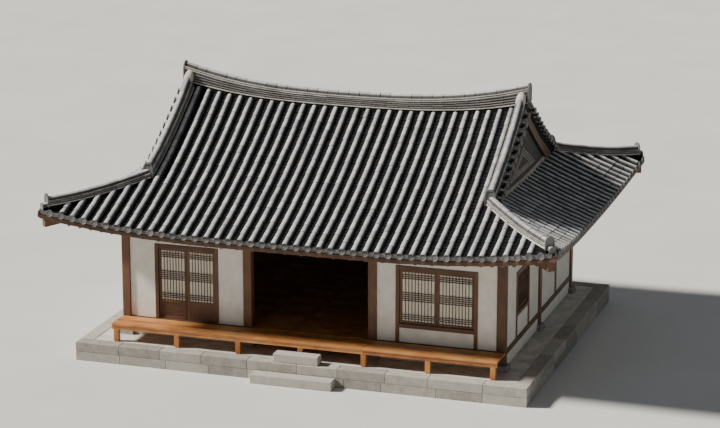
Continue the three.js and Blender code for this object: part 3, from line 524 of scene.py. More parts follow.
def convex_tile(length, radii, lift):
    """A half-round tile with its upper and lower radius."""
    rings = [
        (x, [(radius * math.sin(a), lift + radius * math.cos(a)) for a in HALF_ROUND])
        for x, radius in zip((0, length), radii)
    ]
    return ring_mesh("convex tile", rings, smooth_below=40)


CONCAVE_SPACING = 0.115
CONCAVE_LENGTH = 0.135
CONCAVE_HALF = 0.105
CONCAVE_STEP = 0.014
TROUGH = np.linspace(-1, 1, 6)
TROUGH_CURVE = 0.03
TROUGH_THICK = 0.022
TROUGH_FOOT = 0.002


def concave_tile(length, step):
    """The part of a trough tile that shows. step is how much its lower end is raised."""
    foot = [(CONCAVE_HALF, TROUGH_FOOT), (-CONCAVE_HALF, TROUGH_FOOT)]
    rings = []
    for x, raised in ((0, 0), (length, step)):
        bed = TROUGH_THICK + raised
        rings.append((x, [(CONCAVE_HALF * t, bed + TROUGH_CURVE * t * t) for t in TROUGH] + foot))
    return ring_mesh("concave tile", rings, smooth_below=40)


roof_convex = convex_tile(TILE_LENGTH, CONVEX_RADII, CONVEX_LIFT)
roof_concave = concave_tile(CONCAVE_LENGTH, CONCAVE_STEP)
print(len(roof_convex.polygons), "and", len(roof_concave.polygons), "faces in the two tiles")

# %% [markdown]
# The rows run straight down the front and back slopes, and outwards on the left and right ones.
# Each ends a hand's breadth past the eave. Those that meet a hip start under the hip ridge.

# %% Where the rows run
HIP_COVER = 0.1
RIDGE_COVER = 0.12
VERGE_RIDGE_X = 4.225
GABLE_FACE_X = 4.25
BESIDE_GABLE_Y = GABLE_FOOT_Y - 0.1
SHORTEST_ROW = 0.02
LONG_POINTS = 14
SIDE_POINTS = 8
CONVEX_END = TILE_LENGTH - 0.08
CONCAVE_END = CONCAVE_LENGTH - 0.03


def long_row(front, x, overhang):
    """Points down the front (-1) or back (1) slope at one distance along the house."""
    start = RIDGE_COVER if abs(x) < VERGE_RIDGE_X else abs(x) - HIP_LINE + HIP_COVER
    end = front_eave(x) - overhang
    y = np.linspace(min(start, end - SHORTEST_ROW), end, LONG_POINTS)
    return np.column_stack([np.full_like(y, x), front * y, long_top(x, y)])


def side_row(side, y, overhang):
    """Points down the left (-1) or right (1) slope."""
    start = GABLE_FACE_X if abs(y) < BESIDE_GABLE_Y else abs(y) + HIP_LINE + HIP_COVER
    end = side_eave(y) - overhang
    x = np.linspace(min(start, end - SHORTEST_ROW), end, SIDE_POINTS)
    return np.column_stack([side * x, np.full_like(x, y), side_top(x, y)])


def spread(reach, first):
    """Places at the row pitch on both sides of the middle, starting at first times the pitch."""
    places = np.arange(first, reach / ROW_PITCH, 1.0) * ROW_PITCH
    return sorted({round(sign * place, 5) for place in places for sign in (-1, 1)})


slope_rows = {}
for slope, row, way, convex_reach, concave_reach in (
    ("front", long_row, -1, 6.0, 6.1),
    ("back", long_row, 1, 6.0, 6.1),
    ("left", side_row, -1, 4.65, 4.75),
    ("right", side_row, 1, 4.65, 4.75),
):
    convex = [row(way, at, CONVEX_END) for at in spread(convex_reach, 0.5)]
    concave = [row(way, at, CONCAVE_END) for at in spread(concave_reach, 0)]
    slope_rows[slope] = (convex, concave)
    print(slope, len(convex), "rows and", len(concave), "troughs")

# %% Lay the tiles
CONVEX_UNEVEN = 0.004
LAID_UNEVEN = 0.003
for seed, (slope, (convex, concave)) in enumerate(slope_rows.items()):
    laying = (CONVEX_SPACING, roof_convex, weathered_clay_painted_light_and_shade, CONVEX_UNEVEN, seed)
    rows = lay_rows(f"convex_tiles_{slope}", convex, *laying)
    finish_piece(rows, weathered_clay_painted_light_and_shade, "roof_tile")
    # Troughs in the near-black clay: painted shade between the rows.
    laying = (CONCAVE_SPACING, roof_concave, painted_shade_clay, LAID_UNEVEN, 10 + seed)
    troughs = lay_rows(f"concave_tiles_{slope}", concave, *laying)
    finish_piece(troughs, painted_shade_clay, "roof_tile")

# %% [markdown]
# ## Eave ends
#
# A convex row is closed at the eave by a round disc with a raised rim, and each trough by a
# crescent plate that hangs down and throws the rain clear. Both hang upright however steep the
# slope is, so they are set on points with a level direction. These ones are plain.

# %% Discs and drip plates
DISC_RADIUS = 0.084
DISC_SIDES = 20
DISC_PROFILE = [
    (0, DISC_RADIUS),
    (0.022, DISC_RADIUS),
    (0.022, DISC_RADIUS - 0.014),
    (0.012, DISC_RADIUS - 0.02),
]
PLATE_THICK = 0.016
PLATE_SHOULDER = 0.035
PLATE_BELLY = 0.035
PLATE_STEPS = np.linspace(-1, 1, 8)
LAP = 0.004
PLATE_RISE = 0.012


def circle(radius, sides):
    turn = np.linspace(0, 2 * math.pi, sides, endpoint=False)
    return [(radius * math.sin(a), radius * math.cos(a)) for a in turn]


def disc():
    return ring_mesh("disc", [(x, circle(r, DISC_SIDES)) for x, r in DISC_PROFILE], smooth_below=40)


def drip_plate():
    """A crescent: its top edge follows the trough and its lower edge hangs 7 cm down."""
    upper = [(CONCAVE_HALF * t, TROUGH_THICK + TROUGH_CURVE * t * t) for t in PLATE_STEPS]
    lower = [(CONCAVE_HALF * t, -PLATE_SHOULDER - PLATE_BELLY * (1 - t * t)) for t in -PLATE_STEPS]
    return ring_mesh("drip plate", [(x, upper + lower) for x in (0, PLATE_THICK)])


def row_ends(rows, reach, rise):
    """Points past the ends of rows, and the level directions in which they face."""
    points, facing = [], []
    for row in rows:
        heading = row[-1] - row[-2]
        heading /= np.linalg.norm(heading)
        points.append(row[-1] + heading * reach + (0, 0, rise))
        facing.append((heading[0], heading[1], 0))
    return points, facing


for seed, (slope, (convex, concave)) in enumerate(slope_rows.items()):
    ends = row_ends(convex, TILE_LENGTH - LAP, CONVEX_LIFT - LAP)
    finish_piece(set_on(f"eave_discs_{slope}", *ends, disc(), end_clay, 20 + seed), end_clay, "roof_tile")
    ends = row_ends(concave, CONCAVE_LENGTH - LAP, PLATE_RISE)
    plates = set_on(f"drip_plates_{slope}", *ends, drip_plate(), ridge_clay, 30 + seed)
    finish_piece(plates, ridge_clay, "roof_tile")

# %% [markdown]
# ## Lime mortar
#
# Mortar beds the ridge courses and closes their feet. Inside the ridge it is mostly earth, which
# dust and soot turn grey brown. Along the foot and under the top row it is lime with sand, much
# paler than the clay, and it draws the thin light lines along every ridge. The sand is a grain of
# 3 to 4 mm over a cloud of 30 cm.


# %% Lime mortar finish
def lime(name, stops, grain_scale, depth):
    material, tree = new_material(name)
    place = add(tree, "ShaderNodeTexCoord").outputs["Object"]
    cloudy = {"Vector": place, "Scale": 3.0, "Detail": 6.0, "Roughness": 0.6}
    broad = add(tree, "ShaderNodeTexNoise", cloudy).outputs[0]
    sandy = {"Vector": place, "Scale": grain_scale, "Detail": 4.0}
    sand = add(tree, "ShaderNodeTexNoise", sandy).outputs[0]
    close_material(tree, pattern_colour(tree, [(broad, 1.0)], stops), 0.92, [(sand, 0.6, depth)])
    return material


mortar = lime("lime and sand mortar", [(0.3, "#a8a399"), (0.5, "#c6c1b6"), (0.7, "#d9d5cb")], 300.0, 0.002)
earth_stops = [(0.3, "#383635"), (0.5, "#4b4846"), (0.7, "#605d59")]
earth_mortar = lime("earth mortar, sooty", earth_stops, 240.0, 0.003)
print(mortar.name, "and", earth_mortar.name)

# %% [markdown]
# ## Ridges
#
# A ridge is a small wall built on the crest: flat pieces of tile in courses, each bedded in
# mortar, with a row of convex tiles on top. Seen from afar the courses are what makes a ridge look
# layered. A swept core is the mortar, narrower than the courses, and each course is a row of thin
# slabs laid by the row tree, every other one starting half a slab later. Fitted tiles, painted near
# black as shade, close the gaps between the rows at its foot, with a thin line of lime above them,
# and two more such lines lie under the top row.

# %% Measures of a ridge
CAP_HEIGHT = 0.1
CAP_RADII = (0.084, 0.094)
SLAB_LENGTH = 0.3
SLAB_GAP = 0.006
SLAB_THICK = 0.03
SLAB_ROUNDING = 0.008
COURSE_TAPER = 0.008
CORE_IN = 0.022
CLOSING_IN = 0.004
LIME_LINE = 0.022
FOOT_LINE_OUT = 0.008
TOP_LINE_IN = 0.012
TOP_LINES_DOWN = (0.0, 0.045)
END_PAD = 0.03
cap_tile = convex_tile(TILE_LENGTH, CAP_RADII, LAP)


def slab(width):
    """A thin piece of tile with rounded long edges."""
    half, low, high = width / 2, SLAB_ROUNDING, SLAB_THICK - SLAB_ROUNDING
    edge = [(half - SLAB_ROUNDING, 0), (half, low), (half, high), (half - SLAB_ROUNDING, SLAB_THICK)]
    outline = edge + [(-y, z) for y, z in reversed(edge)]
    return ring_mesh("slab", [(x, outline) for x in (0, SLAB_LENGTH - SLAB_GAP)])


def walk(path, skip):
    """The path without its first stretch of a given length and the length of its last slab."""
    steps = np.linalg.norm(np.diff(path, axis=0), axis=1)
    gone = np.concatenate([[0], np.cumsum(steps)])
    places = np.linspace(skip, gone[-1] - SLAB_LENGTH, len(path))
    return np.column_stack([np.interp(places, gone, path[:, k]) for k in range(3)])


def path_axis(path):
    """The level direction of a path, along which its points are in rising order."""
    level = path[-1] - path[0]
    level[2] = 0
    return level / np.linalg.norm(level)


def band(half, low, high):
    """A flat-sided section from low to high, for a sweep along a ridge."""
    return [(half, high), (half, low), (-half, low), (-half, high)]


def join_pieces(name, pieces):
    """Joins plain pieces into the first one."""
    with bpy.context.temp_override(active_object=pieces[0], selected_editable_objects=pieces):
        bpy.ops.object.join()
    pieces[0].name = pieces[0].data.name = name
    return pieces[0]


# %% One ridge
def ridge(name, path, heights, width, courses, foot, skirt, seed):
    """A ridge on a crest path. heights are its full heights, foot that of its closing tiles and
    skirt how far it reaches below the crest."""
    half, stack, axis = width / 2, heights - CAP_HEIGHT, path_axis(path)

    def raised(row, values, up=0.0):
        row[:, 2] += up + np.interp(row @ axis, path @ axis, values)
        return row

    core = sweep(path, [band(half - CORE_IN, -skirt, tall) for tall in stack])
    finish_piece(mesh_from(f"{name}_mortar", *core), earth_mortar, "roof_tile")
    # The closing tiles are in the near-black clay: painted shade under the ridge.
    between_ends = path.copy()
    between_ends[[0, -1]] += np.outer((END_PAD, -END_PAD), axis)
    closing = sweep(between_ends, band(half - CLOSING_IN, -skirt, foot - LIME_LINE))
    finish_piece(mesh_from(f"{name}_closing_tiles", *closing), painted_shade_clay, "roof_tile")
    lines = [sweep(path, band(half + FOOT_LINE_OUT, foot - LIME_LINE, foot))]
    for down in TOP_LINES_DOWN:
        tops = stack - down
        lines.append(sweep(path, [band(half - TOP_LINE_IN, top - LIME_LINE, top) for top in tops]))
    finish_piece(mesh_from(f"{name}_lime_lines", *joined(lines)), mortar, "roof_tile")
    pitch = (stack - foot) / courses
    laid = []
    for k in range(courses):
        row = raised(walk(path, 0.5 * SLAB_LENGTH * (k % 2)), pitch * (k + 1), foot - SLAB_THICK)
        laying = (SLAB_LENGTH, slab(width - COURSE_TAPER * k), ridge_clay, LAID_UNEVEN, seed + k)
        laid.append(lay_rows(f"{name}_course", [row], *laying))
    cap_row = raised(walk(path, 0), stack)
    laying = (CONVEX_SPACING, cap_tile, weathered_clay_painted_light_and_shade, LAID_UNEVEN, seed)
    cap = lay_rows(f"{name}_cap", [cap_row], *laying)
    finish_piece(cap, weathered_clay_painted_light_and_shade, "roof_tile")
    finish_piece(join_pieces(name, laid), ridge_clay, "roof_tile", name.replace("_courses", ""))


# %% [markdown]
# The main ridge sags between its ends. Four ridges run down beside the gables, and their heads
# climb its side. Four more run out along the hips, and each turns up a little at its lower end.

# %% Build the nine ridges
RIDGE_END_X = 4.37
RIDGE_TOP_X = 4.39
MAIN_RISE = 0.39
MAIN_END_RISE = 0.11
VERGE_RISE = 0.35
VERGE_HEAD_RISE = 0.08
VERGE_FROM = 0.17
VERGE_TO = 2.9
VERGE_UPTURN = 0.04
HIP_RISE = 0.24
HIP_END_X = 6.05
HIP_UPTURN = 0.06
HIP_CURVE = (4.105, 6.07)


def verge_share(y):
    return (y - VERGE_FROM) / (VERGE_TO - VERGE_FROM)


def verge_height(y):
    """Height of a descending ridge, which rises at its head to lean on the main ridge."""
    return VERGE_RISE + VERGE_HEAD_RISE * (1 - np.clip(verge_share(y), 0, 1)) ** 6


x = np.linspace(-RIDGE_END_X, RIDGE_END_X, 41)
main_path = np.column_stack([x, 0 * x, long_top(x, 0)])
main_heights = MAIN_RISE + MAIN_END_RISE * (np.abs(x) / RIDGE_TOP_X) ** 2
ridge("main_ridge_courses", main_path, main_heights, width=0.3, courses=5, foot=0.06, skirt=0.08, seed=100)

SIGNS = (-1, 1)
SIDE_NAMES = {-1: "left", 1: "right"}
FRONT_NAMES = {-1: "front", 1: "back"}
quarters = [(side, front) for side in SIGNS for front in SIGNS]
for number, (side, front) in enumerate(quarters):
    corner_name = f"{FRONT_NAMES[front]}_{SIDE_NAMES[side]}"
    y = np.linspace(VERGE_FROM, VERGE_TO, 21)
    crest = long_top(VERGE_RIDGE_X, y) + VERGE_UPTURN * verge_share(y) ** 4
    path = np.column_stack([np.full_like(y, side * VERGE_RIDGE_X), front * y, crest])
    name = f"verge_ridge_courses_{corner_name}"
    seed = 200 + 10 * number
    ridge(name, path, verge_height(y), width=0.24, courses=4, foot=0.04, skirt=0.05, seed=seed)
    x = np.linspace(VERGE_RIDGE_X + 0.01, HIP_END_X, 17)
    share = (x - HIP_CURVE[0]) / (HIP_CURVE[1] - HIP_CURVE[0])
    crest = side_top(x, x - HIP_LINE) + HIP_UPTURN * share**3
    path = np.column_stack([side * x, front * (x - HIP_LINE), crest])
    name = f"hip_ridge_courses_{corner_name}"
    heights = np.full_like(x, HIP_RISE)
    ridge(name, path, heights, width=0.24, courses=2, foot=0.045, skirt=0.07, seed=seed + 100)

# %% [markdown]
# Where the head of a descending ridge leans on the main ridge, its top tile is wrapped in lime,
# which is the brightest spot on the roof. A ball drawn out along the ridge's top gives its shape.

# %% Lime heads
HEAD_HALF = 0.116
HEAD_Y = 0.24
HEAD_REACH = 0.17
HEAD_DOWN = 0.09


def lime_head(side, front):
    """Points and faces of one lump, drawn out along the head of a descending ridge."""
    ball = bmesh.new()
    bmesh.ops.create_uvsphere(ball, u_segments=20, v_segments=12, radius=1)
    across, along, up = np.array([vert.co for vert in ball.verts]).T
    faces = [tuple(vert.index for vert in face.verts) for face in ball.faces]
    ball.free()
    y = HEAD_Y + HEAD_REACH * along
    middle = long_top(VERGE_RIDGE_X, y) + verge_height(y) - HEAD_DOWN
    x = side * VERGE_RIDGE_X + HEAD_HALF * across
    return np.column_stack([x, front * y, middle + HEAD_HALF * up]), faces


heads = joined([lime_head(side, front) for side, front in quarters])
finish_piece(mesh_from("verge_ridge_heads", *heads, smooth_below=60), mortar, "roof_tile")

# %% [markdown]
# ## Ridge end tiles
#
# Every ridge is closed by an upright half-round tile with a rolled rim, bedded in a pad of
# mortar. On real houses the face often carries a moulded figure. Here it is plain.

# %% End tiles
ARCH = np.linspace(0, math.pi, 13)
END_TILE_LAYERS = [(0, 0), (0.03, 0), (0.03, 0.022), (0.016, 0.03)]


def end_tile(height, width):
    """An upright half-round plate facing +X with a raised rim."""

    def outline(inset):
        half, top = width / 2 - inset, 0.45 * height - inset
        arc = [(-half * math.cos(a), 0.55 * height + top * math.sin(a)) for a in ARCH]
        return [(half, inset), (-half, inset)] + arc

    return ring_mesh("end tile", [(x, outline(inset)) for x, inset in END_TILE_LAYERS], smooth_below=35)


def end_tiles(kind, ends, height, width, seed):
    """One end tile at each pair of a place and the level way that it faces."""
    places, ways = zip(*ends)
    tiles = set_on(f"{kind}_ridge_end_tiles", places, ways, end_tile(height, width), end_clay, seed)
    finish_piece(tiles, end_clay, "roof_tile")


main_foot = long_top(RIDGE_TOP_X, 0) + 0.05
main_ends = [((side * RIDGE_END_X, 0, main_foot), (side, 0, 0)) for side in SIGNS]
end_tiles("main", main_ends, height=0.46, width=0.33, seed=41)
verge_foot = long_top(VERGE_RIDGE_X, VERGE_TO + 0.02) - 0.02
verge_ends = [
    ((side * VERGE_RIDGE_X, front * VERGE_TO, verge_foot), (0, front, 0)) for side, front in quarters
]
end_tiles("verge", verge_ends, height=0.44, width=0.26, seed=42)
hip_foot = side_top(HIP_CURVE[1], HIP_CURVE[1] - HIP_LINE) + 0.06
hip_end_y = HIP_END_X - HIP_LINE
hip_ends = [
    ((side * HIP_END_X, front * hip_end_y, hip_foot), (side, front, 0)) for side, front in quarters
]
end_tiles("hip", hip_ends, height=0.31, width=0.25, seed=43)

# %% [markdown]
# Below the end of each hip ridge one more convex tile, a little larger, points out over the corner
# of the eaves. A disc closes it like the others, and a drip plate hangs under it.

# %% Corner tiles
CORNER_TILE_X = 5.93
CORNER_TILE_LIFT = 0.03
CORNER_RADII = (0.084, 0.09)
CORNER_DISC_SIZE = (1, 1.08, 1.08)
CORNER_PLATE_SIZE = (1, 0.92, 1.1)
CORNER_PLATE_DOWN = 0.05


def on_hip(x):
    """A point of the hip in the right back quarter, a little over the bed."""
    return np.array((x, x - HIP_LINE, side_top(x, x - HIP_LINE) + CORNER_TILE_LIFT))


start = on_hip(CORNER_TILE_X)
tip = on_hip(CORNER_TILE_X + TILE_LENGTH * math.sqrt(0.5))
flips = np.array([(side, front, 1) for side, front in quarters])
starts, tips, ways = start * flips, tip * flips, (tip - start) * flips
level_ways = ways * (1, 1, 0)
corner_tile = convex_tile(TILE_LENGTH, CORNER_RADII, CONVEX_LIFT)
corner_tiles = set_on("corner_tiles", starts, ways, corner_tile, weathered_clay_painted_light_and_shade, 44)
finish_piece(corner_tiles, weathered_clay_painted_light_and_shade, "roof_tile")
disc_places = tips + (0, 0, CONVEX_LIFT + LAP)
corner_discs = set_on("corner_discs", disc_places, level_ways, disc(), end_clay, 45, CORNER_DISC_SIZE)
finish_piece(corner_discs, end_clay, "roof_tile")
plate_setting = (tips - (0, 0, CORNER_PLATE_DOWN), level_ways, drip_plate(), ridge_clay, 46)
corner_plates = set_on("corner_drip_plates", *plate_setting, CORNER_PLATE_SIZE)
finish_piece(corner_plates, ridge_clay, "roof_tile")

# %% [markdown]
# ## Verge tiles
#
# Beside each descending ridge, short tiles point outwards over the gable, like a comb. They keep
# rain off the boards below, and their round ends make the dotted edge of the gable.

# %% Tiles over the gables
VERGE_PITCH = 0.24
VERGE_TILE_X = VERGE_RIDGE_X + 0.065
VERGE_BED_X = 4.3
VERGE_FALL = -0.12
STUB_LENGTH = 0.16
STUB_RADII = (0.066, 0.07)
STUB_LIFT = 0.03
COMB_FROM = 0.3
COMB_TO = 2.85
LAST_TROUGH_Y = 2.7
VERGE_DISC_UP = 0.012
VERGE_DISC_SIZE = (1, 0.92, 0.92)
VERGE_TROUGH_DOWN = 0.012
VERGE_TROUGH_LENGTH = STUB_LENGTH - 0.03
VERGE_TROUGH_STEP = 0.004

comb_y = np.arange(COMB_FROM, COMB_TO, VERGE_PITCH)
comb = [((side, front), y) for side, front in quarters for y in comb_y]
outwards = np.array([(side, 0, 0) for (side, _), _ in comb])
falling = outwards + (0, 0, VERGE_FALL)
places = np.array([(side * VERGE_TILE_X, front * y, long_top(VERGE_BED_X, y)) for (side, front), y in comb])
stub = convex_tile(STUB_LENGTH, STUB_RADII, STUB_LIFT)
stubs = set_on("verge_tiles", places, falling, stub, weathered_clay_painted_light_and_shade, 51, unevenness=LAID_UNEVEN)
finish_piece(stubs, weathered_clay_painted_light_and_shade, "roof_tile")
disc_places = places + outwards * STUB_LENGTH + (0, 0, VERGE_DISC_UP)
rounds = set_on("verge_discs", disc_places, outwards, disc(), end_clay, 52, VERGE_DISC_SIZE)
finish_piece(rounds, end_clay, "roof_tile")
between = np.abs(places[:, 1]) < LAST_TROUGH_Y
beside = np.zeros_like(places)
beside[:, 1] = 0.5 * VERGE_PITCH * np.sign(places[:, 1])
trough_places = (places + beside - (0, 0, VERGE_TROUGH_DOWN))[between]
# Verge troughs in the near-black clay: painted shade.
trough = concave_tile(VERGE_TROUGH_LENGTH, VERGE_TROUGH_STEP)
setting = (trough_places, falling[between], trough, painted_shade_clay, 53)
trough_tiles = set_on("verge_trough_tiles", *setting, unevenness=LAID_UNEVEN)
finish_piece(trough_tiles, painted_shade_clay, "roof_tile")

# %% [markdown]
# ## Oiled pine
#
# The frame is pine, rubbed with oil and darkened by smoke and weather. Its grain runs along each
# timber, so the eased boxes carry a "grain" position that is always longest first. Timbers that
# come straight from the frame have no such attribute, and their grain is stretched along one axis
# of the object instead.

# %% Timber finishes
GRAIN_STRETCH = 14.0
TINT_SHIFT = (9.0, 9.0, 9.0)


def oiled_pine(name, stops, roughness, axis=None, tint_share=0.25):
    """Sawn pine. Its growth rings show as streaks 17 mm apart, and its fibres as 2 mm ones."""
    material, tree = new_material(name)
    tint = add(tree, "ShaderNodeAttribute", attribute_name="tint").outputs["Fac"]
    if axis is None:
        grain = add(tree, "ShaderNodeAttribute", attribute_name="grain").outputs["Vector"]
        from_tint = {0: tint, 1: TINT_SHIFT, 2: grain}
        place = add(tree, "ShaderNodeVectorMath", from_tint, operation="MULTIPLY_ADD").outputs["Vector"]
    else:
        place = add(tree, "ShaderNodeTexCoord").outputs["Object"]
    scale = [1 / GRAIN_STRETCH if k == (axis or 0) else 1 for k in range(3)]
    stretched = add(tree, "ShaderNodeMapping", {"Vector": place, "Scale": scale}).outputs["Vector"]
    streaks = {"Vector": stretched, "Scale": 60.0, "Detail": 5.0, "Roughness": 0.6}
    rings = add(tree, "ShaderNodeTexNoise", streaks).outputs[0]
    broad = add(tree, "ShaderNodeTexNoise", {"Vector": place, "Scale": 2.2, "Detail": 4.0}).outputs[0]
    fine = {"Vector": stretched, "Scale": 420.0, "Detail": 2.0}
    fibres = add(tree, "ShaderNodeTexNoise", fine).outputs[0]
    colour = pattern_colour(tree, [(rings, 0.5), (tint, tint_share), (broad, 0.5)], stops)
    close_material(tree, colour, roughness, [(fibres, 0.5, 0.0015), (rings, 0.4, 0.003)])
    return material


dark_stops = [(0.3, "#2e1d12"), (0.5, "#4c3220"), (0.75, "#6d4a2f")]
rafter_stops = [(0.3, "#3d2718"), (0.5, "#5f3f27"), (0.75, "#85603f")]
floor_stops = [(0.3, "#6f3f1b"), (0.5, "#a5652f"), (0.75, "#cf9355")]
dark_pine = oiled_pine("oiled pine, dark", dark_stops, 0.6)
column_pine = oiled_pine("oiled pine, columns", dark_stops, 0.6, axis=2)
pine_along_x = oiled_pine("oiled pine, along the house", dark_stops, 0.6, axis=0)
pine_along_y = oiled_pine("oiled pine, across the house", dark_stops, 0.6, axis=1)
rafter_pine_y = oiled_pine("oiled pine rafters, front and back", rafter_stops, 0.62, axis=1)
rafter_pine_x = oiled_pine("oiled pine rafters, sides", rafter_stops, 0.62, axis=0)
rafter_pine = oiled_pine("oiled pine, rafters", rafter_stops, 0.62)
floor_pine = oiled_pine("worn pine boards", floor_stops, 0.5, tint_share=0.175)

# %% Dress the timbers of the frame
nodes = frame["nodes"]


def dress(material, *names):
    for name in names:
        nodes[name].data.materials.clear()
        nodes[name].data.materials.append(material)


dress(pine_along_x, "head_beam_front", "head_beam_back")
dress(pine_along_x, "mid_purlin_front", "mid_purlin_back", "ridge_purlin")
dress(pine_along_y, "head_beam_left", "head_beam_right", "roof_frame_left", "roof_frame_right")
dress(pine_along_y, "barge_board_left", "barge_board_right")
dress(rafter_pine_y, "eave_rafters_front", "eave_rafters_back")
dress(rafter_pine_x, "eave_rafters_left", "eave_rafters_right")
# The tile bed in the near-black clay: painted shade under the tiles.
dress(painted_shade_clay, *[f"roof_slope_{slope}" for slope in slope_rows])
print(len(nodes), "nodes in the frame")

# %% [markdown]
# ## Posts and poles
#
# The posts are squared, with their edges planed off by a finger's breadth so that nobody is hurt
# on them. Rafters and purlins are peeled poles. The rafters run straight down the slopes and fan
# out towards the corners, and the purlins carry them from below. The frame has them as bars of
# few sides. One round pole, set on points and drawn out to each length, gives their true shape.

# %% Posts with planed edges
PLANED = 0.014
column_names = [name for name in nodes if name.startswith("column_")]
posts = eased_boxes("posts", [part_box(name) for name in column_names], ease=PLANED)
finish_piece(posts, dark_pine, "timber", *column_names)

# %% Round poles
POLE_SIDES = 16
POLE_RADIUS = 0.058
POLE_GRAIN = 3


def unit_pole():
    """A pole one metre long, with a grain position that runs along it."""
    mesh = ring_mesh("pole", [(x, circle(POLE_RADIUS, POLE_SIDES)) for x in (0, 1)], smooth_below=40)
    layer = mesh.attributes.new("grain", "FLOAT_VECTOR", "POINT")
    grain = np.array([vert.co for vert in mesh.vertices]) * (POLE_GRAIN, 1, 1)
    layer.data.foreach_set("vector", grain.ravel())
    return mesh


def set_poles(name, axes, radii, material):
    """Round poles along axes, each a pair of points."""
    starts, stops = np.array(axes).swapaxes(0, 1)
    runs = stops - starts
    thick = np.asarray(radii) / POLE_RADIUS
    sizes = np.column_stack([np.linalg.norm(runs, axis=1), thick, thick])
    finish_piece(set_on(name, starts, runs, unit_pole(), material, 70, sizes), material, "timber")


# %% Rafters under the four eaves
RAFTER_PITCH = 0.39
RAFTER_DOWN = 0.237
RAFTER_END = 0.108
RAFTER_INNER_Y = 1.49
RAFTER_INNER_X = 4.1
FAN_X = GABLE_X - 0.06
FAN_Y = FAN_X - HIP_LINE
FAN_START = 0.13
FAN_CLEAR = 0.1
FAN_EDGE = 0.33
FAN_RAFTERS = 6


def rafter_plan(long_side):
    """Inner ends and eave points in plan of the rafters over one half of an eave."""
    fan_from, corner = (FAN_X, CORNER_X) if long_side else (FAN_Y, CORNER_Y)
    eave = front_eave if long_side else side_eave
    inner = RAFTER_INNER_Y if long_side else RAFTER_INNER_X
    middle = np.array((FAN_X, FAN_Y) if long_side else (FAN_Y, FAN_X))
    straight = np.arange(0.5, (fan_from - FAN_CLEAR) / RAFTER_PITCH, 1.0) * RAFTER_PITCH
    plan = [((at, inner), (at, eave(at))) for at in straight]
    for at in np.linspace(straight[-1] + RAFTER_PITCH, corner - FAN_EDGE, FAN_RAFTERS):
        edge = np.array((at, eave(at)))
        plan.append((middle * (1 - FAN_START) + edge * FAN_START, edge))
    return plan if long_side else [((a[1], a[0]), (b[1], b[0])) for a, b in plan]


def rafter_axis(ends, surface, side, front):
    """A rafter's axis, mirrored into its quarter of the roof."""
    start, stop = (np.array((x, y, float(surface(x, y)) - RAFTER_DOWN)) for x, y in ends)
    stop -= (stop - start) * RAFTER_END / np.linalg.norm(stop - start)
    return start * (side, front, 1), stop * (side, front, 1)


for eave_name, surface, halves in (
    ("front", long_top, ((-1, -1), (1, -1))),
    ("back", long_top, ((-1, 1), (1, 1))),
    ("left", side_top, ((-1, -1), (-1, 1))),
    ("right", side_top, ((1, -1), (1, 1))),
):
    plan = rafter_plan(surface is long_top)
    axes = [rafter_axis(ends, surface, *half) for half in halves for ends in plan]
    set_poles(f"rafters_{eave_name}", axes, [POLE_RADIUS] * len(axes), rafter_pine)

# %% Round purlins
WALL_X = 4.65
WALL_Y = 3.3
PURLIN_RADIUS = 0.115
PURLIN_END_X = 4.932
MID_PURLIN_RADIUS = 0.101
MID_PURLIN_Y = 1.65
RAFTER_TO_PURLIN = 0.16


def purlin_height(surface, at):
    """Height of a purlin's axis at a distance from the middle, from the first rafter over it."""
    level = 1 if surface is long_top else 0
    start, stop = rafter_axis(rafter_plan(surface is long_top)[0], surface, 1, 1)
    slope = (stop[2] - start[2]) / (stop[level] - start[level])
    return start[2] + slope * (at - start[level]) - RAFTER_TO_PURLIN * math.hypot(1, slope)


long_purlin = purlin_height(long_top, WALL_Y)
side_purlin = purlin_height(side_top, WALL_X)
mid_low, mid_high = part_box("mid_purlin_front")
mid_z = (mid_low[2] + mid_high[2]) / 2
purlins = []
for sign in SIGNS:
    y, x, mid_y = sign * WALL_Y, sign * WALL_X, sign * MID_PURLIN_Y
    purlins.append(((-PURLIN_END_X, y, long_purlin), (PURLIN_END_X, y, long_purlin)))
    purlins.append(((x, -WALL_Y, side_purlin), (x, WALL_Y, side_purlin)))
    purlins.append(((mid_low[0], mid_y, mid_z), (mid_high[0], mid_y, mid_z)))
set_poles("purlins", purlins, [PURLIN_RADIUS, PURLIN_RADIUS, MID_PURLIN_RADIUS] * 2, dark_pine)
print("purlin heights", round(long_purlin, 3), round(side_purlin, 3), round(mid_z, 3))

# %% [markdown]
# ## Eave boards
#
# Under the tile ends runs a board, and below it a squared batten that the rafters carry. Together
# they hide the clay bed. They follow the curve of the eave, so they are sweeps along it.

# %% Boards along the four eaves
CORNER_LAP = 0.03
BOARD_SECTION = [(-0.004, -0.012), (0.016, -0.012), (0.016, -0.085), (-0.004, -0.085)]
BATTEN_SECTION = [(-0.004, -0.088), (0.034, -0.088), (0.034, -0.158), (-0.004, -0.158)]
x = np.linspace(-CORNER_X - CORNER_LAP, CORNER_X + CORNER_LAP, 61)
y = np.linspace(-CORNER_Y - CORNER_LAP, CORNER_Y + CORNER_LAP, 49)
front_path = np.column_stack([x, -front_eave(x), eave_height(CORNER_X - np.abs(x))])
right_path = np.column_stack([side_eave(y), y, eave_height(CORNER_Y - np.abs(y))])
for eave_name, path, material in (
    ("front", front_path, pine_along_x),
    ("right", right_path, pine_along_y),
    ("back", front_path * (-1, -1, 1), pine_along_x),
    ("left", right_path * (-1, -1, 1), pine_along_y),
):
    strips = joined([sweep(path, BOARD_SECTION), sweep(path, BATTEN_SECTION)])
    finish_piece(mesh_from(f"eave_boards_{eave_name}", *strips), material, "timber")

# %% [markdown]
# ## Brick gables
#
# The upper part of each gable is closed with grey brick in lime joints, their colours darkened as
# painted shade for the gable in shadow. Bricks about 190 by 57 mm with joints of 10 mm are drawn
# on the wall's own Y and Z. The mortar size is half a joint, with its soft edge.

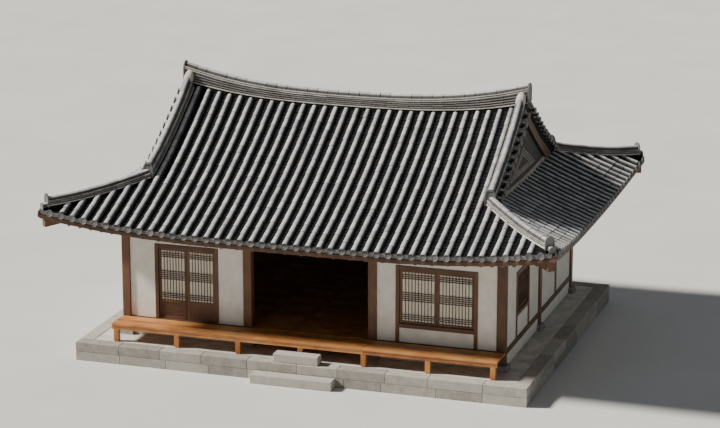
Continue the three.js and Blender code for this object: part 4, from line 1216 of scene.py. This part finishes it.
# %% Brick finish
brick_wall_painted_shade, tree = new_material("grey brick in lime joints")
place = add(tree, "ShaderNodeTexCoord").outputs["Object"]
parts = add(tree, "ShaderNodeSeparateXYZ", {"Vector": place}).outputs
flat = add(tree, "ShaderNodeCombineXYZ", {"X": parts["Y"], "Y": parts["Z"]}).outputs["Vector"]
# Brick and joint colours darkened near black: painted shade for the gable in shadow.
bond = {
    "Vector": flat,
    "Color1": linear("#383737"),
    "Color2": linear("#484644"),
    "Mortar": linear("#5d5954"),
    "Scale": 1.0,
    "Mortar Size": 0.006,
    "Mortar Smooth": 0.2,
    "Brick Width": 0.2,
    "Row Height": 0.067,
}
bricks = add(tree, "ShaderNodeTexBrick", bond).outputs
close_material(tree, bricks["Color"], 0.88, [(bricks["Fac"], 0.8, 0.006)], invert=True)
dress(brick_wall_painted_shade, "gable_wall_left", "gable_wall_right")
print(brick_wall_painted_shade.name, "with", len(tree.nodes), "nodes")

# %% [markdown]
# A fillet of lime closes the gable's foot where the tiles of the side slope meet it. Above its
# middle, thin bands of lime draw three nested triangles, which follow the slopes of the roof.
# Each band is a flat strip with mitred corners, standing proud of the brick.

# %% Lime fillet and bands
GABLE_WALL_FACE = 4.24
FILLET = [(0, 0.04), (0.008, 0.135), (0.03, 0.125), (0.055, 0.04)]
FILLET_HALF = 2.45
BANDS = (1.2, 0.95, 0.7)
BAND_FOOT_Z = 4.33
BAND_STEP = 0.4
BAND_SLOPE = 0.5
BAND_WIDTH = 0.024
BAND_SUNK = 0.005
BAND_PROUD = 0.012
# This lime is darker than the ridge lime: painted shade for the gable, which lies in shadow.
gable_shade_stops = [(0.3, "#827d74"), (0.5, "#9c968c"), (0.7, "#b3ada2")]
gable_lime_painted_shade = lime("lime mortar, sooty", gable_shade_stops, 260.0, 0.002)


def triangle_band(side, half_base):
    """A mitred strip around a triangle on the gable's face."""
    mitre = (math.hypot(1, BAND_SLOPE) + 1) / BAND_SLOPE
    level = BAND_FOOT_Z + (BANDS[0] - half_base) * BAND_SLOPE * BAND_STEP
    points = []
    for x in (GABLE_WALL_FACE - BAND_SUNK, GABLE_WALL_FACE + BAND_PROUD):
        for inset in (0, BAND_WIDTH):
            foot = level + inset
            reach = half_base - inset * mitre
            corners = ((-reach, foot), (reach, foot), (0, foot + reach * BAND_SLOPE))
            points += [(side * x, y, z) for y, z in corners]
    faces = []
    for k in range(3):
        after = (k + 1) % 3
        for near, far in ((0, 3), (6, 9), (0, 6), (3, 9)):
            faces.append((near + k, near + after, far + after, far + k))
    return np.array(points), faces


fillets = []
for side in SIGNS:
    y = np.linspace(-FILLET_HALF, FILLET_HALF, 25)
    path = np.column_stack([np.full_like(y, side * GABLE_WALL_FACE), y, side_top(GABLE_WALL_FACE, y)])
    fillets.append(sweep(path, [(side * out, up) for out, up in FILLET]))
finish_piece(mesh_from("gable_fillets", *joined(fillets)), gable_lime_painted_shade, "gable_brick")
bands = joined([triangle_band(side, half_base) for side in SIGNS for half_base in BANDS])
finish_piece(mesh_from("gable_lime_bands", *bands), gable_lime_painted_shade, "gable_brick")

# %% [markdown]
# ## Walls
#
# Between the posts, a wall is lime plaster on a lattice of sticks, held by rails. The plaster
# stands a finger's breadth behind the timber. The rails, the sill and the posts beside a door are
# separate timbers with their own grain, so each wall is made as a plaster panel and a set of
# eased boxes.

# %% Measures of the walls
plaster_stops = [(0.3, "#d9d4c8"), (0.5, "#e4e0d5"), (0.7, "#ece8df")]
plaster = lime("lime plaster, matt white", plaster_stops, 160.0, 0.0012)

BAY_WIDTH = 3.1
BAY_DEPTH = 3.3
COLUMN_HALF = 0.105
PLATFORM_Z = 0.45
FLOOR_Z = 0.9
WALL_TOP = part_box("wall_back_left")[1][2]
PANEL_HALF = 0.06
TIMBER_HALF = 0.08
RAIL = 0.11
SILL = 0.14
JAMB = 0.09
HEAD = 0.1
STUD_HALF = 0.06
MIDDLE_RAIL = FLOOR_Z + 1.15

# An opening is its half width, its foot and its head.
DOOR = (0.72, 0.9, 2.65)
FRONT_WINDOW = (0.9, 1.35, 2.65)
SHUTTER = (0.7, 1.2, 2.55)
SIDE_WINDOW = (0.52, 1.5, 2.4)

# The walls along the house, then those across it, with their line, their middle and their opening.
walls = [
    ("front_left", True, -WALL_Y, -BAY_WIDTH, DOOR),
    ("front_right", True, -WALL_Y, BAY_WIDTH, FRONT_WINDOW),
    ("back_left", True, WALL_Y, -BAY_WIDTH, None),
    ("back_middle", True, WALL_Y, 0, SHUTTER),
    ("back_right", True, WALL_Y, BAY_WIDTH, None),
    ("left_front", False, -WALL_X, -BAY_DEPTH / 2, SIDE_WINDOW),
    ("left_back", False, -WALL_X, BAY_DEPTH / 2, None),
    ("right_front", False, WALL_X, -BAY_DEPTH / 2, SIDE_WINDOW),
    ("right_back", False, WALL_X, BAY_DEPTH / 2, None),
]
print(len(walls), "walls,", sum(opening is not None for *_, opening in walls), "with an opening")


# %% Plaster and wall timbers
def wall_box(runs_x, line, centre, span, heights, half_thick, outwards=0.0):
    """A box in a wall, from its place along the wall, its heights and its half thickness."""
    low = (centre + span[0], line - half_thick + outwards, heights[0])
    high = (centre + span[1], line + half_thick + outwards, heights[1])
    if runs_x:
        return low, high
    return (low[1], low[0], low[2]), (high[1], high[0], high[2])


for wall_name, runs_x, line, centre, opening in walls:
    half = (BAY_WIDTH if runs_x else BAY_DEPTH) / 2 - COLUMN_HALF
    full = (-half, half)
    in_sill, in_rail = FLOOR_Z - SILL / 2, WALL_TOP - RAIL / 2
    beams = [(full, (FLOOR_Z - SILL, FLOOR_Z)), (full, (WALL_TOP - RAIL, WALL_TOP))]
    panels = [(full, (PLATFORM_Z, in_sill))]
    if opening is None:
        beams.append((full, (MIDDLE_RAIL, MIDDLE_RAIL + RAIL)))
        beams.append(((-STUD_HALF, STUD_HALF), (FLOOR_Z, MIDDLE_RAIL)))
        panels.append((full, (in_sill, in_rail)))
    else:
        reach, low, high = opening
        in_jamb = reach + JAMB / 2
        beams.append(((-reach - JAMB, -reach), (FLOOR_Z, high + HEAD)))
        beams.append(((reach, reach + JAMB), (FLOOR_Z, high + HEAD)))
        beams.append(((-reach, reach), (high, high + HEAD)))
        if low > FLOOR_Z:
            beams.append(((-reach, reach), (low - HEAD, low)))
            panels.append(((-in_jamb, in_jamb), (in_sill, low - HEAD / 2)))
        panels.append(((-half, -in_jamb), (in_sill, in_rail)))
        panels.append(((in_jamb, half), (in_sill, in_rail)))
        panels.append(((-in_jamb, in_jamb), (high + HEAD / 2, in_rail)))
    panels = [wall_box(runs_x, line, centre, *panel, PANEL_HALF) for panel in panels]
    beams = [wall_box(runs_x, line, centre, *beam, TIMBER_HALF) for beam in beams]
    finish_piece(eased_boxes(f"plaster_{wall_name}", panels, ease=0), plaster, "plaster", f"wall_{wall_name}")
    finish_piece(eased_boxes(f"wall_timbers_{wall_name}", beams, ease=0.006), dark_pine, "timber")

# %% [markdown]
# ## Doors and windows
#
# A leaf is a light frame filled with thin bars: uprights all along, crossed by three groups of
# short rails, or by one group on a small window. Paper is pasted behind them. The bars are a unit
# box set on points at many sizes, which the second tree does.

# %% Paper
paper, tree = new_material("mulberry paper")
place = add(tree, "ShaderNodeTexCoord").outputs["Object"]
fibre_place = add(tree, "ShaderNodeMapping", {"Vector": place, "Scale": (1, 1, 0.4)}).outputs["Vector"]
pulp = {"Vector": fibre_place, "Scale": 90.0, "Detail": 6.0, "Roughness": 0.7}
fibres = add(tree, "ShaderNodeTexNoise", pulp).outputs[0]
paper_stops = [(0.3, "#d8cfb8"), (0.5, "#e9e2cf"), (0.7, "#f1ecdd")]
close_material(tree, pattern_colour(tree, [(fibres, 1.0)], paper_stops), 0.85, [(fibres, 0.3, 0.0006)])
print(paper.name, "with", len(tree.nodes), "nodes")

# %% One leaf with its bars
LEAF_OUT = 0.02
LEAF_GAP = 0.002
LEAF_HALF = 0.02
STILE = 0.06
BOARD_HALF = 0.012
BAR = 0.014
BAR_HALF = 0.008
BAR_PITCH = 0.075
UPRIGHT_OUT = 0.006
RAIL_OUT = 0.009
RAIL_PITCH = 0.048
SHORT_LEAF = 0.9
SHORT_GROUPS = [(0.5, 4)]
TALL_GROUPS = [(0.09, 3), (0.5, 5), (0.91, 3)]
PAPER_LAP = 0.02
PAPER_HALF = 0.002
PAPER_BACK = 0.008


def leaf(wall, span, heights, board_height, outwards):
    """Frame boxes, bar boxes and the paper box of one leaf, in a wall (runs along X, line, centre)."""

    def part(span, heights, half, shift=0.0):
        return wall_box(*wall, span, heights, half, shift * outwards)

    (a, b), (low, high) = span, heights
    inner = (a + STILE, b - STILE)
    foot, head = low + STILE, high - STILE
    frame_boxes = [
        part((a, a + STILE), heights, LEAF_HALF),
        part((b - STILE, b), heights, LEAF_HALF),
        part(inner, (low, foot), LEAF_HALF),
        part(inner, (head, high), LEAF_HALF),
    ]
    if board_height:
        frame_boxes.append(part(inner, (foot, foot + board_height), BOARD_HALF))
        foot += board_height
        frame_boxes.append(part(inner, (foot, foot + STILE), LEAF_HALF))
        foot += STILE
    bars = []
    count = max(2, round((inner[1] - inner[0]) / BAR_PITCH))
    for at in np.linspace(*inner, count + 1)[1:-1]:
        bars.append(part((at - BAR / 2, at + BAR / 2), (foot, head), BAR_HALF, UPRIGHT_OUT))
    for share, number in SHORT_GROUPS if head - foot < SHORT_LEAF else TALL_GROUPS:
        for k in range(number):
            z = foot + (head - foot) * share + (k - (number - 1) / 2) * RAIL_PITCH
            bars.append(part(inner, (z - BAR / 2, z + BAR / 2), BAR_HALF, RAIL_OUT))
    pasted = (a + PAPER_LAP, b - PAPER_LAP), (foot - PAPER_LAP, head + PAPER_LAP)
    return frame_boxes, bars, part(*pasted, PAPER_HALF, -PAPER_BACK)


# %% Build the leaves
def pairs(values):
    """Neighbours in a list of places."""
    return list(zip(values[:-1], values[1:]))


# Node, wall (runs along X, line, centre), opening, number of leaves, height of its board, way out.
leaves = [
    ("door_front_left", (True, -WALL_Y, -BAY_WIDTH), DOOR, 2, 0.35, -1),
    ("window_front_right", (True, -WALL_Y, BAY_WIDTH), FRONT_WINDOW, 2, 0, -1),
    ("window_left_front", (False, -WALL_X, -BAY_DEPTH / 2), SIDE_WINDOW, 1, 0, -1),
    ("window_right_front", (False, WALL_X, -BAY_DEPTH / 2), SIDE_WINDOW, 1, 0, 1),
]
unit_box = ring_mesh("unit", [(x, SQUARE) for x in (0, 1)])
for node_name, (runs_x, line, centre), (reach, low, high), count, board_height, outwards in leaves:
    wall = (runs_x, line + outwards * LEAF_OUT, centre)
    frames, bars, sheets = [], [], []
    for a, b in pairs(np.linspace(-reach, reach, count + 1)):
        made = leaf(wall, (a + LEAF_GAP, b - LEAF_GAP), (low, high), board_height, outwards)
        frames += made[0]
        bars += made[1]
        sheets.append(made[2])
    finish_piece(eased_boxes(f"{node_name}_paper", sheets, ease=0.0005), paper, "paper_panel", node_name)
    finish_piece(eased_boxes(f"{node_name}_frame", frames, ease=0.003), dark_pine, "timber")
    lows, highs = np.array(bars).swapaxes(0, 1)
    along = np.tile((1, 0, 0), (len(bars), 1))
    lattice = set_on(f"{node_name}_bars", lows, along, unit_box, column_pine, 60, highs - lows)
    finish_piece(lattice, column_pine, "timber")

# %% [markdown]
# The back has a pair of plank shutters, with ledges nailed across them and thin boards behind
# the joints.

# %% Plank shutters
SHUTTER_LINE = WALL_Y + LEAF_OUT
PLANK_GAP = 0.0015
PLANK_HALF = 0.014
BACKING_HALF = 0.004
BACKING_IN = -0.016
LEDGE_HALF = 0.012
LEDGE_HIGH = 0.09
LEDGE_OUT = 0.02
LEDGE_FEET = (1.38, 2.28)

reach, low, high = SHUTTER
planks = []
for a, b in pairs(np.linspace(-reach, reach, 11)):
    planks.append(((a + PLANK_GAP, b - PLANK_GAP), (low, high), PLANK_HALF))
for a, b in ((-reach, -0.001), (0.001, reach)):
    planks.append(((a, b), (low, high), BACKING_HALF, BACKING_IN))
for a, b in ((-reach + 0.02, -0.02), (0.02, reach - 0.02)):
    for z in LEDGE_FEET:
        planks.append(((a, b), (z, z + LEDGE_HIGH), LEDGE_HALF, LEDGE_OUT))
planks = [wall_box(True, SHUTTER_LINE, 0, *plank) for plank in planks]
finish_piece(eased_boxes("shutter_planks", planks, ease=0.003), dark_pine, "timber", "shutter_back_middle")

# %% [markdown]
# ## Floors
#
# The hall floor is built of beams with short boards let in between them. The porch in front is
# lower by a finger's breadth and has long boards. Both are worn to a warm orange brown.

# %% Floorboards of the hall
ROOM_X = 4.57
ROOM_Y = 3.22
BEAM_WIDTH = 0.16
BEAM_DEPTH = 0.06
BOARD_PITCH = 0.23
BOARD_DEPTH = 0.05
BOARD_SUNK = 0.002
BOARD_GAP = 0.003
HALL_HALF = 1.445
EDGE_BEAM_FRONT = -3.405
EDGE_BEAM_DEPTH = 0.15
POST_HALF = 0.06
POST_LINES = (-3.1, 0, 3.1)

floor_boxes = []
for left, right in pairs(np.linspace(-ROOM_X, ROOM_X, 10)):
    floor_boxes.append(((left, -ROOM_Y, FLOOR_Z - BEAM_DEPTH), (left + BEAM_WIDTH, ROOM_Y, FLOOR_Z)))
    for low_y in np.arange(-ROOM_Y, ROOM_Y, BOARD_PITCH):
        high_y = min(low_y + BOARD_PITCH, ROOM_Y) - BOARD_GAP
        low = (left + BEAM_WIDTH + BOARD_GAP, low_y, FLOOR_Z - BOARD_DEPTH)
        floor_boxes.append((low, (right - BOARD_GAP, high_y, FLOOR_Z - BOARD_SUNK)))
edge_low = (-HALL_HALF, EDGE_BEAM_FRONT, FLOOR_Z - EDGE_BEAM_DEPTH)
floor_boxes.append((edge_low, (HALL_HALF, -ROOM_Y, FLOOR_Z)))
for x in POST_LINES:
    for y in POST_LINES:
        low = (x - POST_HALF, y - POST_HALF, PLATFORM_Z)
        floor_boxes.append((low, (x + POST_HALF, y + POST_HALF, FLOOR_Z - BOARD_DEPTH)))
finish_piece(eased_boxes("hall_floor", floor_boxes, ease=0.002), floor_pine, "floorboards", "timber_floor")

# %% Boards of the porch
PORCH_X = 4.755
PORCH_FRONT = -4.105
PORCH_BACK = -3.406
PORCH_TOP = 0.885
PORCH_BOARD = 0.045
PORCH_BEAM = 0.14
PORCH_BEAM_FRONT = PORCH_FRONT + 0.02
PORCH_BEAM_BACK = PORCH_FRONT + 0.09
PORCH_POST_BACK = PORCH_FRONT + 0.14
JOINT_HALF = 0.001

porch_boxes = []
sections = pairs((-PORCH_X, -BAY_WIDTH / 2, BAY_WIDTH / 2, PORCH_X))
sections = [(left + JOINT_HALF, right - JOINT_HALF) for left, right in sections]
board_foot, beam_foot = PORCH_TOP - PORCH_BOARD, PORCH_TOP - PORCH_BEAM
for a, b in pairs(np.linspace(PORCH_FRONT, PORCH_BACK, 6)):
    for left, right in sections:
        low = (left, a + BOARD_GAP / 2, board_foot)
        porch_boxes.append((low, (right, b - BOARD_GAP / 2, PORCH_TOP)))
for left, right in sections:
    low = (left, PORCH_BEAM_FRONT, beam_foot)
    porch_boxes.append((low, (right, PORCH_BEAM_BACK, board_foot)))
for k in range(-3, 4):
    x = k * BAY_WIDTH / 2
    low = (x - POST_HALF, PORCH_BEAM_FRONT, PLATFORM_Z)
    porch_boxes.append((low, (x + POST_HALF, PORCH_POST_BACK, beam_foot)))
finish_piece(eased_boxes("porch_boards", porch_boxes, ease=0.003), floor_pine, "floorboards", "front_porch")

# %% [markdown]
# ## Stone
#
# The platform is edged with long dressed granite blocks in two courses, around rammed earth. The
# base stones under the columns, the step and the stepping stone are the same stone. Granite has
# grains of 2 to 5 mm in white, grey and black, which are drawn a little coarser so that they show.

# %% Granite
granite, tree = new_material("dressed granite")
place = add(tree, "ShaderNodeTexCoord").outputs["Object"]
tint = add(tree, "ShaderNodeAttribute", attribute_name="tint").outputs["Fac"]
crystals = add(tree, "ShaderNodeTexVoronoi", {"Vector": place, "Scale": 130.0}, feature="F1")
speck = add(tree, "ShaderNodeSeparateColor", {"Color": crystals.outputs["Color"]}).outputs[0]
cloudy = {"Vector": place, "Scale": 5.0, "Detail": 6.0, "Roughness": 0.6}
broad = add(tree, "ShaderNodeTexNoise", cloudy).outputs[0]
hewn = {"Vector": place, "Scale": 45.0, "Detail": 6.0, "Roughness": 0.7}
pitting = add(tree, "ShaderNodeTexNoise", hewn).outputs[0]
granite_stops = [(0.15, "#67635d"), (0.45, "#918c83"), (0.8, "#b8b3a8")]
granite_colour = pattern_colour(tree, [(speck, 0.35), (tint, 0.3), (broad, 0.5)], granite_stops)
close_material(tree, granite_colour, 0.85, [(pitting, 0.7, 0.008)])
for name in ("front_step", "stepping_stone"):
    finish_piece(eased_boxes(f"{name}_block", [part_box(name)], ease=0.014), granite, "granite", name)

# %% Edging blocks and rammed earth
PLATFORM_X = 5.55
PLATFORM_FRONT = -4.45
PLATFORM_BACK = 4.2
COURSE = PLATFORM_Z / 2
EDGE_WIDTH = 0.34
JOINT = 0.006
BLOCK_LENGTH = 1.15
BLOCK_UNEVEN = 0.12
FILL_IN = 0.03
FILL_SUNK = 0.012
INNER_FRONT = PLATFORM_FRONT + EDGE_WIDTH
INNER_BACK = PLATFORM_BACK - EDGE_WIDTH
draw = np.random.default_rng(7)


def block_spans(low, high):
    """Spans of uneven blocks along an edge, with their joints left open."""
    count = max(2, round((high - low) / BLOCK_LENGTH))
    edges = np.linspace(low, high, count + 1)
    edges[1:-1] += draw.uniform(-BLOCK_UNEVEN, BLOCK_UNEVEN, count - 1)
    return [(a + JOINT / 2, b - JOINT / 2) for a, b in pairs(edges)]


blocks = []
for foot, head in ((0, COURSE - JOINT), (COURSE, PLATFORM_Z)):
    for inner, outer in ((INNER_FRONT, PLATFORM_FRONT), (INNER_BACK, PLATFORM_BACK)):
        for a, b in block_spans(-PLATFORM_X, PLATFORM_X):
            blocks.append(((a, inner, foot), (b, outer, head)))
    for side in SIGNS:
        for a, b in block_spans(INNER_FRONT, INNER_BACK):
            blocks.append(((side * (PLATFORM_X - EDGE_WIDTH), a, foot), (side * PLATFORM_X, b, head)))
finish_piece(eased_boxes("platform_edging", blocks, ease=0.008), granite, "granite", "stone_platform")

fill_low = (-PLATFORM_X + FILL_IN, PLATFORM_FRONT + FILL_IN, 0)
fill_high = (PLATFORM_X - FILL_IN, PLATFORM_BACK - FILL_IN, PLATFORM_Z - FILL_SUNK)
finish_piece(eased_boxes("platform_fill", [(fill_low, fill_high)], ease=0.004), mortar, "granite")

# %% Base stones
STONE_RINGS = [(0.2, -0.02), (0.18, 0), (0.162, 0.108), (0.15, 0.12)]


def base_stone(x, y):
    """A squared stone that narrows upwards."""
    points = [
        (x + (2 * i - 1) * half, y + (2 * j - 1) * half, PLATFORM_Z + up)
        for half, up in STONE_RINGS
        for i, j in SQUARE
    ]
    return np.array(points), ring_faces(len(STONE_RINGS), 4)


stone_places = [(k * BAY_WIDTH / 2, front * WALL_Y) for front in SIGNS for k in (-3, -1, 1, 3)]
stone_places += [(-WALL_X, 0), (WALL_X, 0)]
stones = joined([base_stone(x, y) for x, y in stone_places])
finish_piece(mesh_from("base_stones", *stones), granite, "granite")

# %% [markdown]
# ## Floor, light and camera
#
# The house stands on a plain pale floor. The key light comes from the left at 38 degrees, a little
# from the front. It lights the crowns of the tile rows and leaves the troughs and the right side
# in shade, and it only grazes the faces of the ridges. A pale sky keeps the shade readable.

# %% Floor
FLOOR_HALF = 150
floor_material, tree = new_material("pale floor")
place = add(tree, "ShaderNodeTexCoord").outputs["Object"]
cloud = add(tree, "ShaderNodeTexNoise", {"Vector": place, "Scale": 0.35, "Detail": 3.0}).outputs[0]
close_material(tree, pattern_colour(tree, [(cloud, 1.0)], [(0.3, "#cfcdc8"), (0.7, "#d6d4d0")]), 0.95)
floor_points = [((2 * i - 1) * FLOOR_HALF, (2 * j - 1) * FLOOR_HALF, 0) for i, j in SQUARE]
floor = put_in_scene("pale_floor", mesh_from("pale_floor", floor_points, [(0, 1, 2, 3)]))
floor.data.materials.append(floor_material)
floor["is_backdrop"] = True

# %% Light
TO_SUN = Vector((-0.76, -0.19, 0.62))
sun_data = bpy.data.lights.new("key", "SUN")
sun_data.energy = 7.5
sun_data.angle = math.radians(8)
sun_data.color = (1.0, 0.96, 0.9)
sun = put_in_scene("key", sun_data)
sun.rotation_euler = (-TO_SUN).to_track_quat("-Z", "Y").to_euler()
world = bpy.data.worlds.new("pale sky")
world.use_nodes = True
sky = world.node_tree.nodes["Background"].inputs
sky["Color"].default_value = linear("#dfe7f0")
sky["Strength"].default_value = 0.23
bpy.context.scene.world = world

# %% Camera
# The eye stands 18 degrees to the right of the front and 15 degrees above the middle of the house.
VIEW_TO = Vector((0.15, 0.0, 2.95))
VIEW_TURN = math.radians(18)
VIEW_RISE = math.radians(15)
VIEW_DISTANCE = 60.0
level = VIEW_DISTANCE * math.cos(VIEW_RISE)
above = VIEW_DISTANCE * math.sin(VIEW_RISE)
away = Vector((level * math.sin(VIEW_TURN), -level * math.cos(VIEW_TURN), above))
camera_data = bpy.data.cameras.new("camera")
camera_data.lens = 122
camera_data.clip_end = 500
camera = put_in_scene("camera", camera_data)
camera.location = VIEW_TO + away
camera.rotation_euler = (-away).to_track_quat("-Z", "Y").to_euler()
bpy.context.scene.camera = camera
print("camera at", [round(value, 2) for value in camera.location])

# %% Sizes
shown_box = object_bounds()
for label, box in (("cad", cad_box), ("visual", shown_box)):
    print(label, [round(value, 3) for corner in box for value in corner])
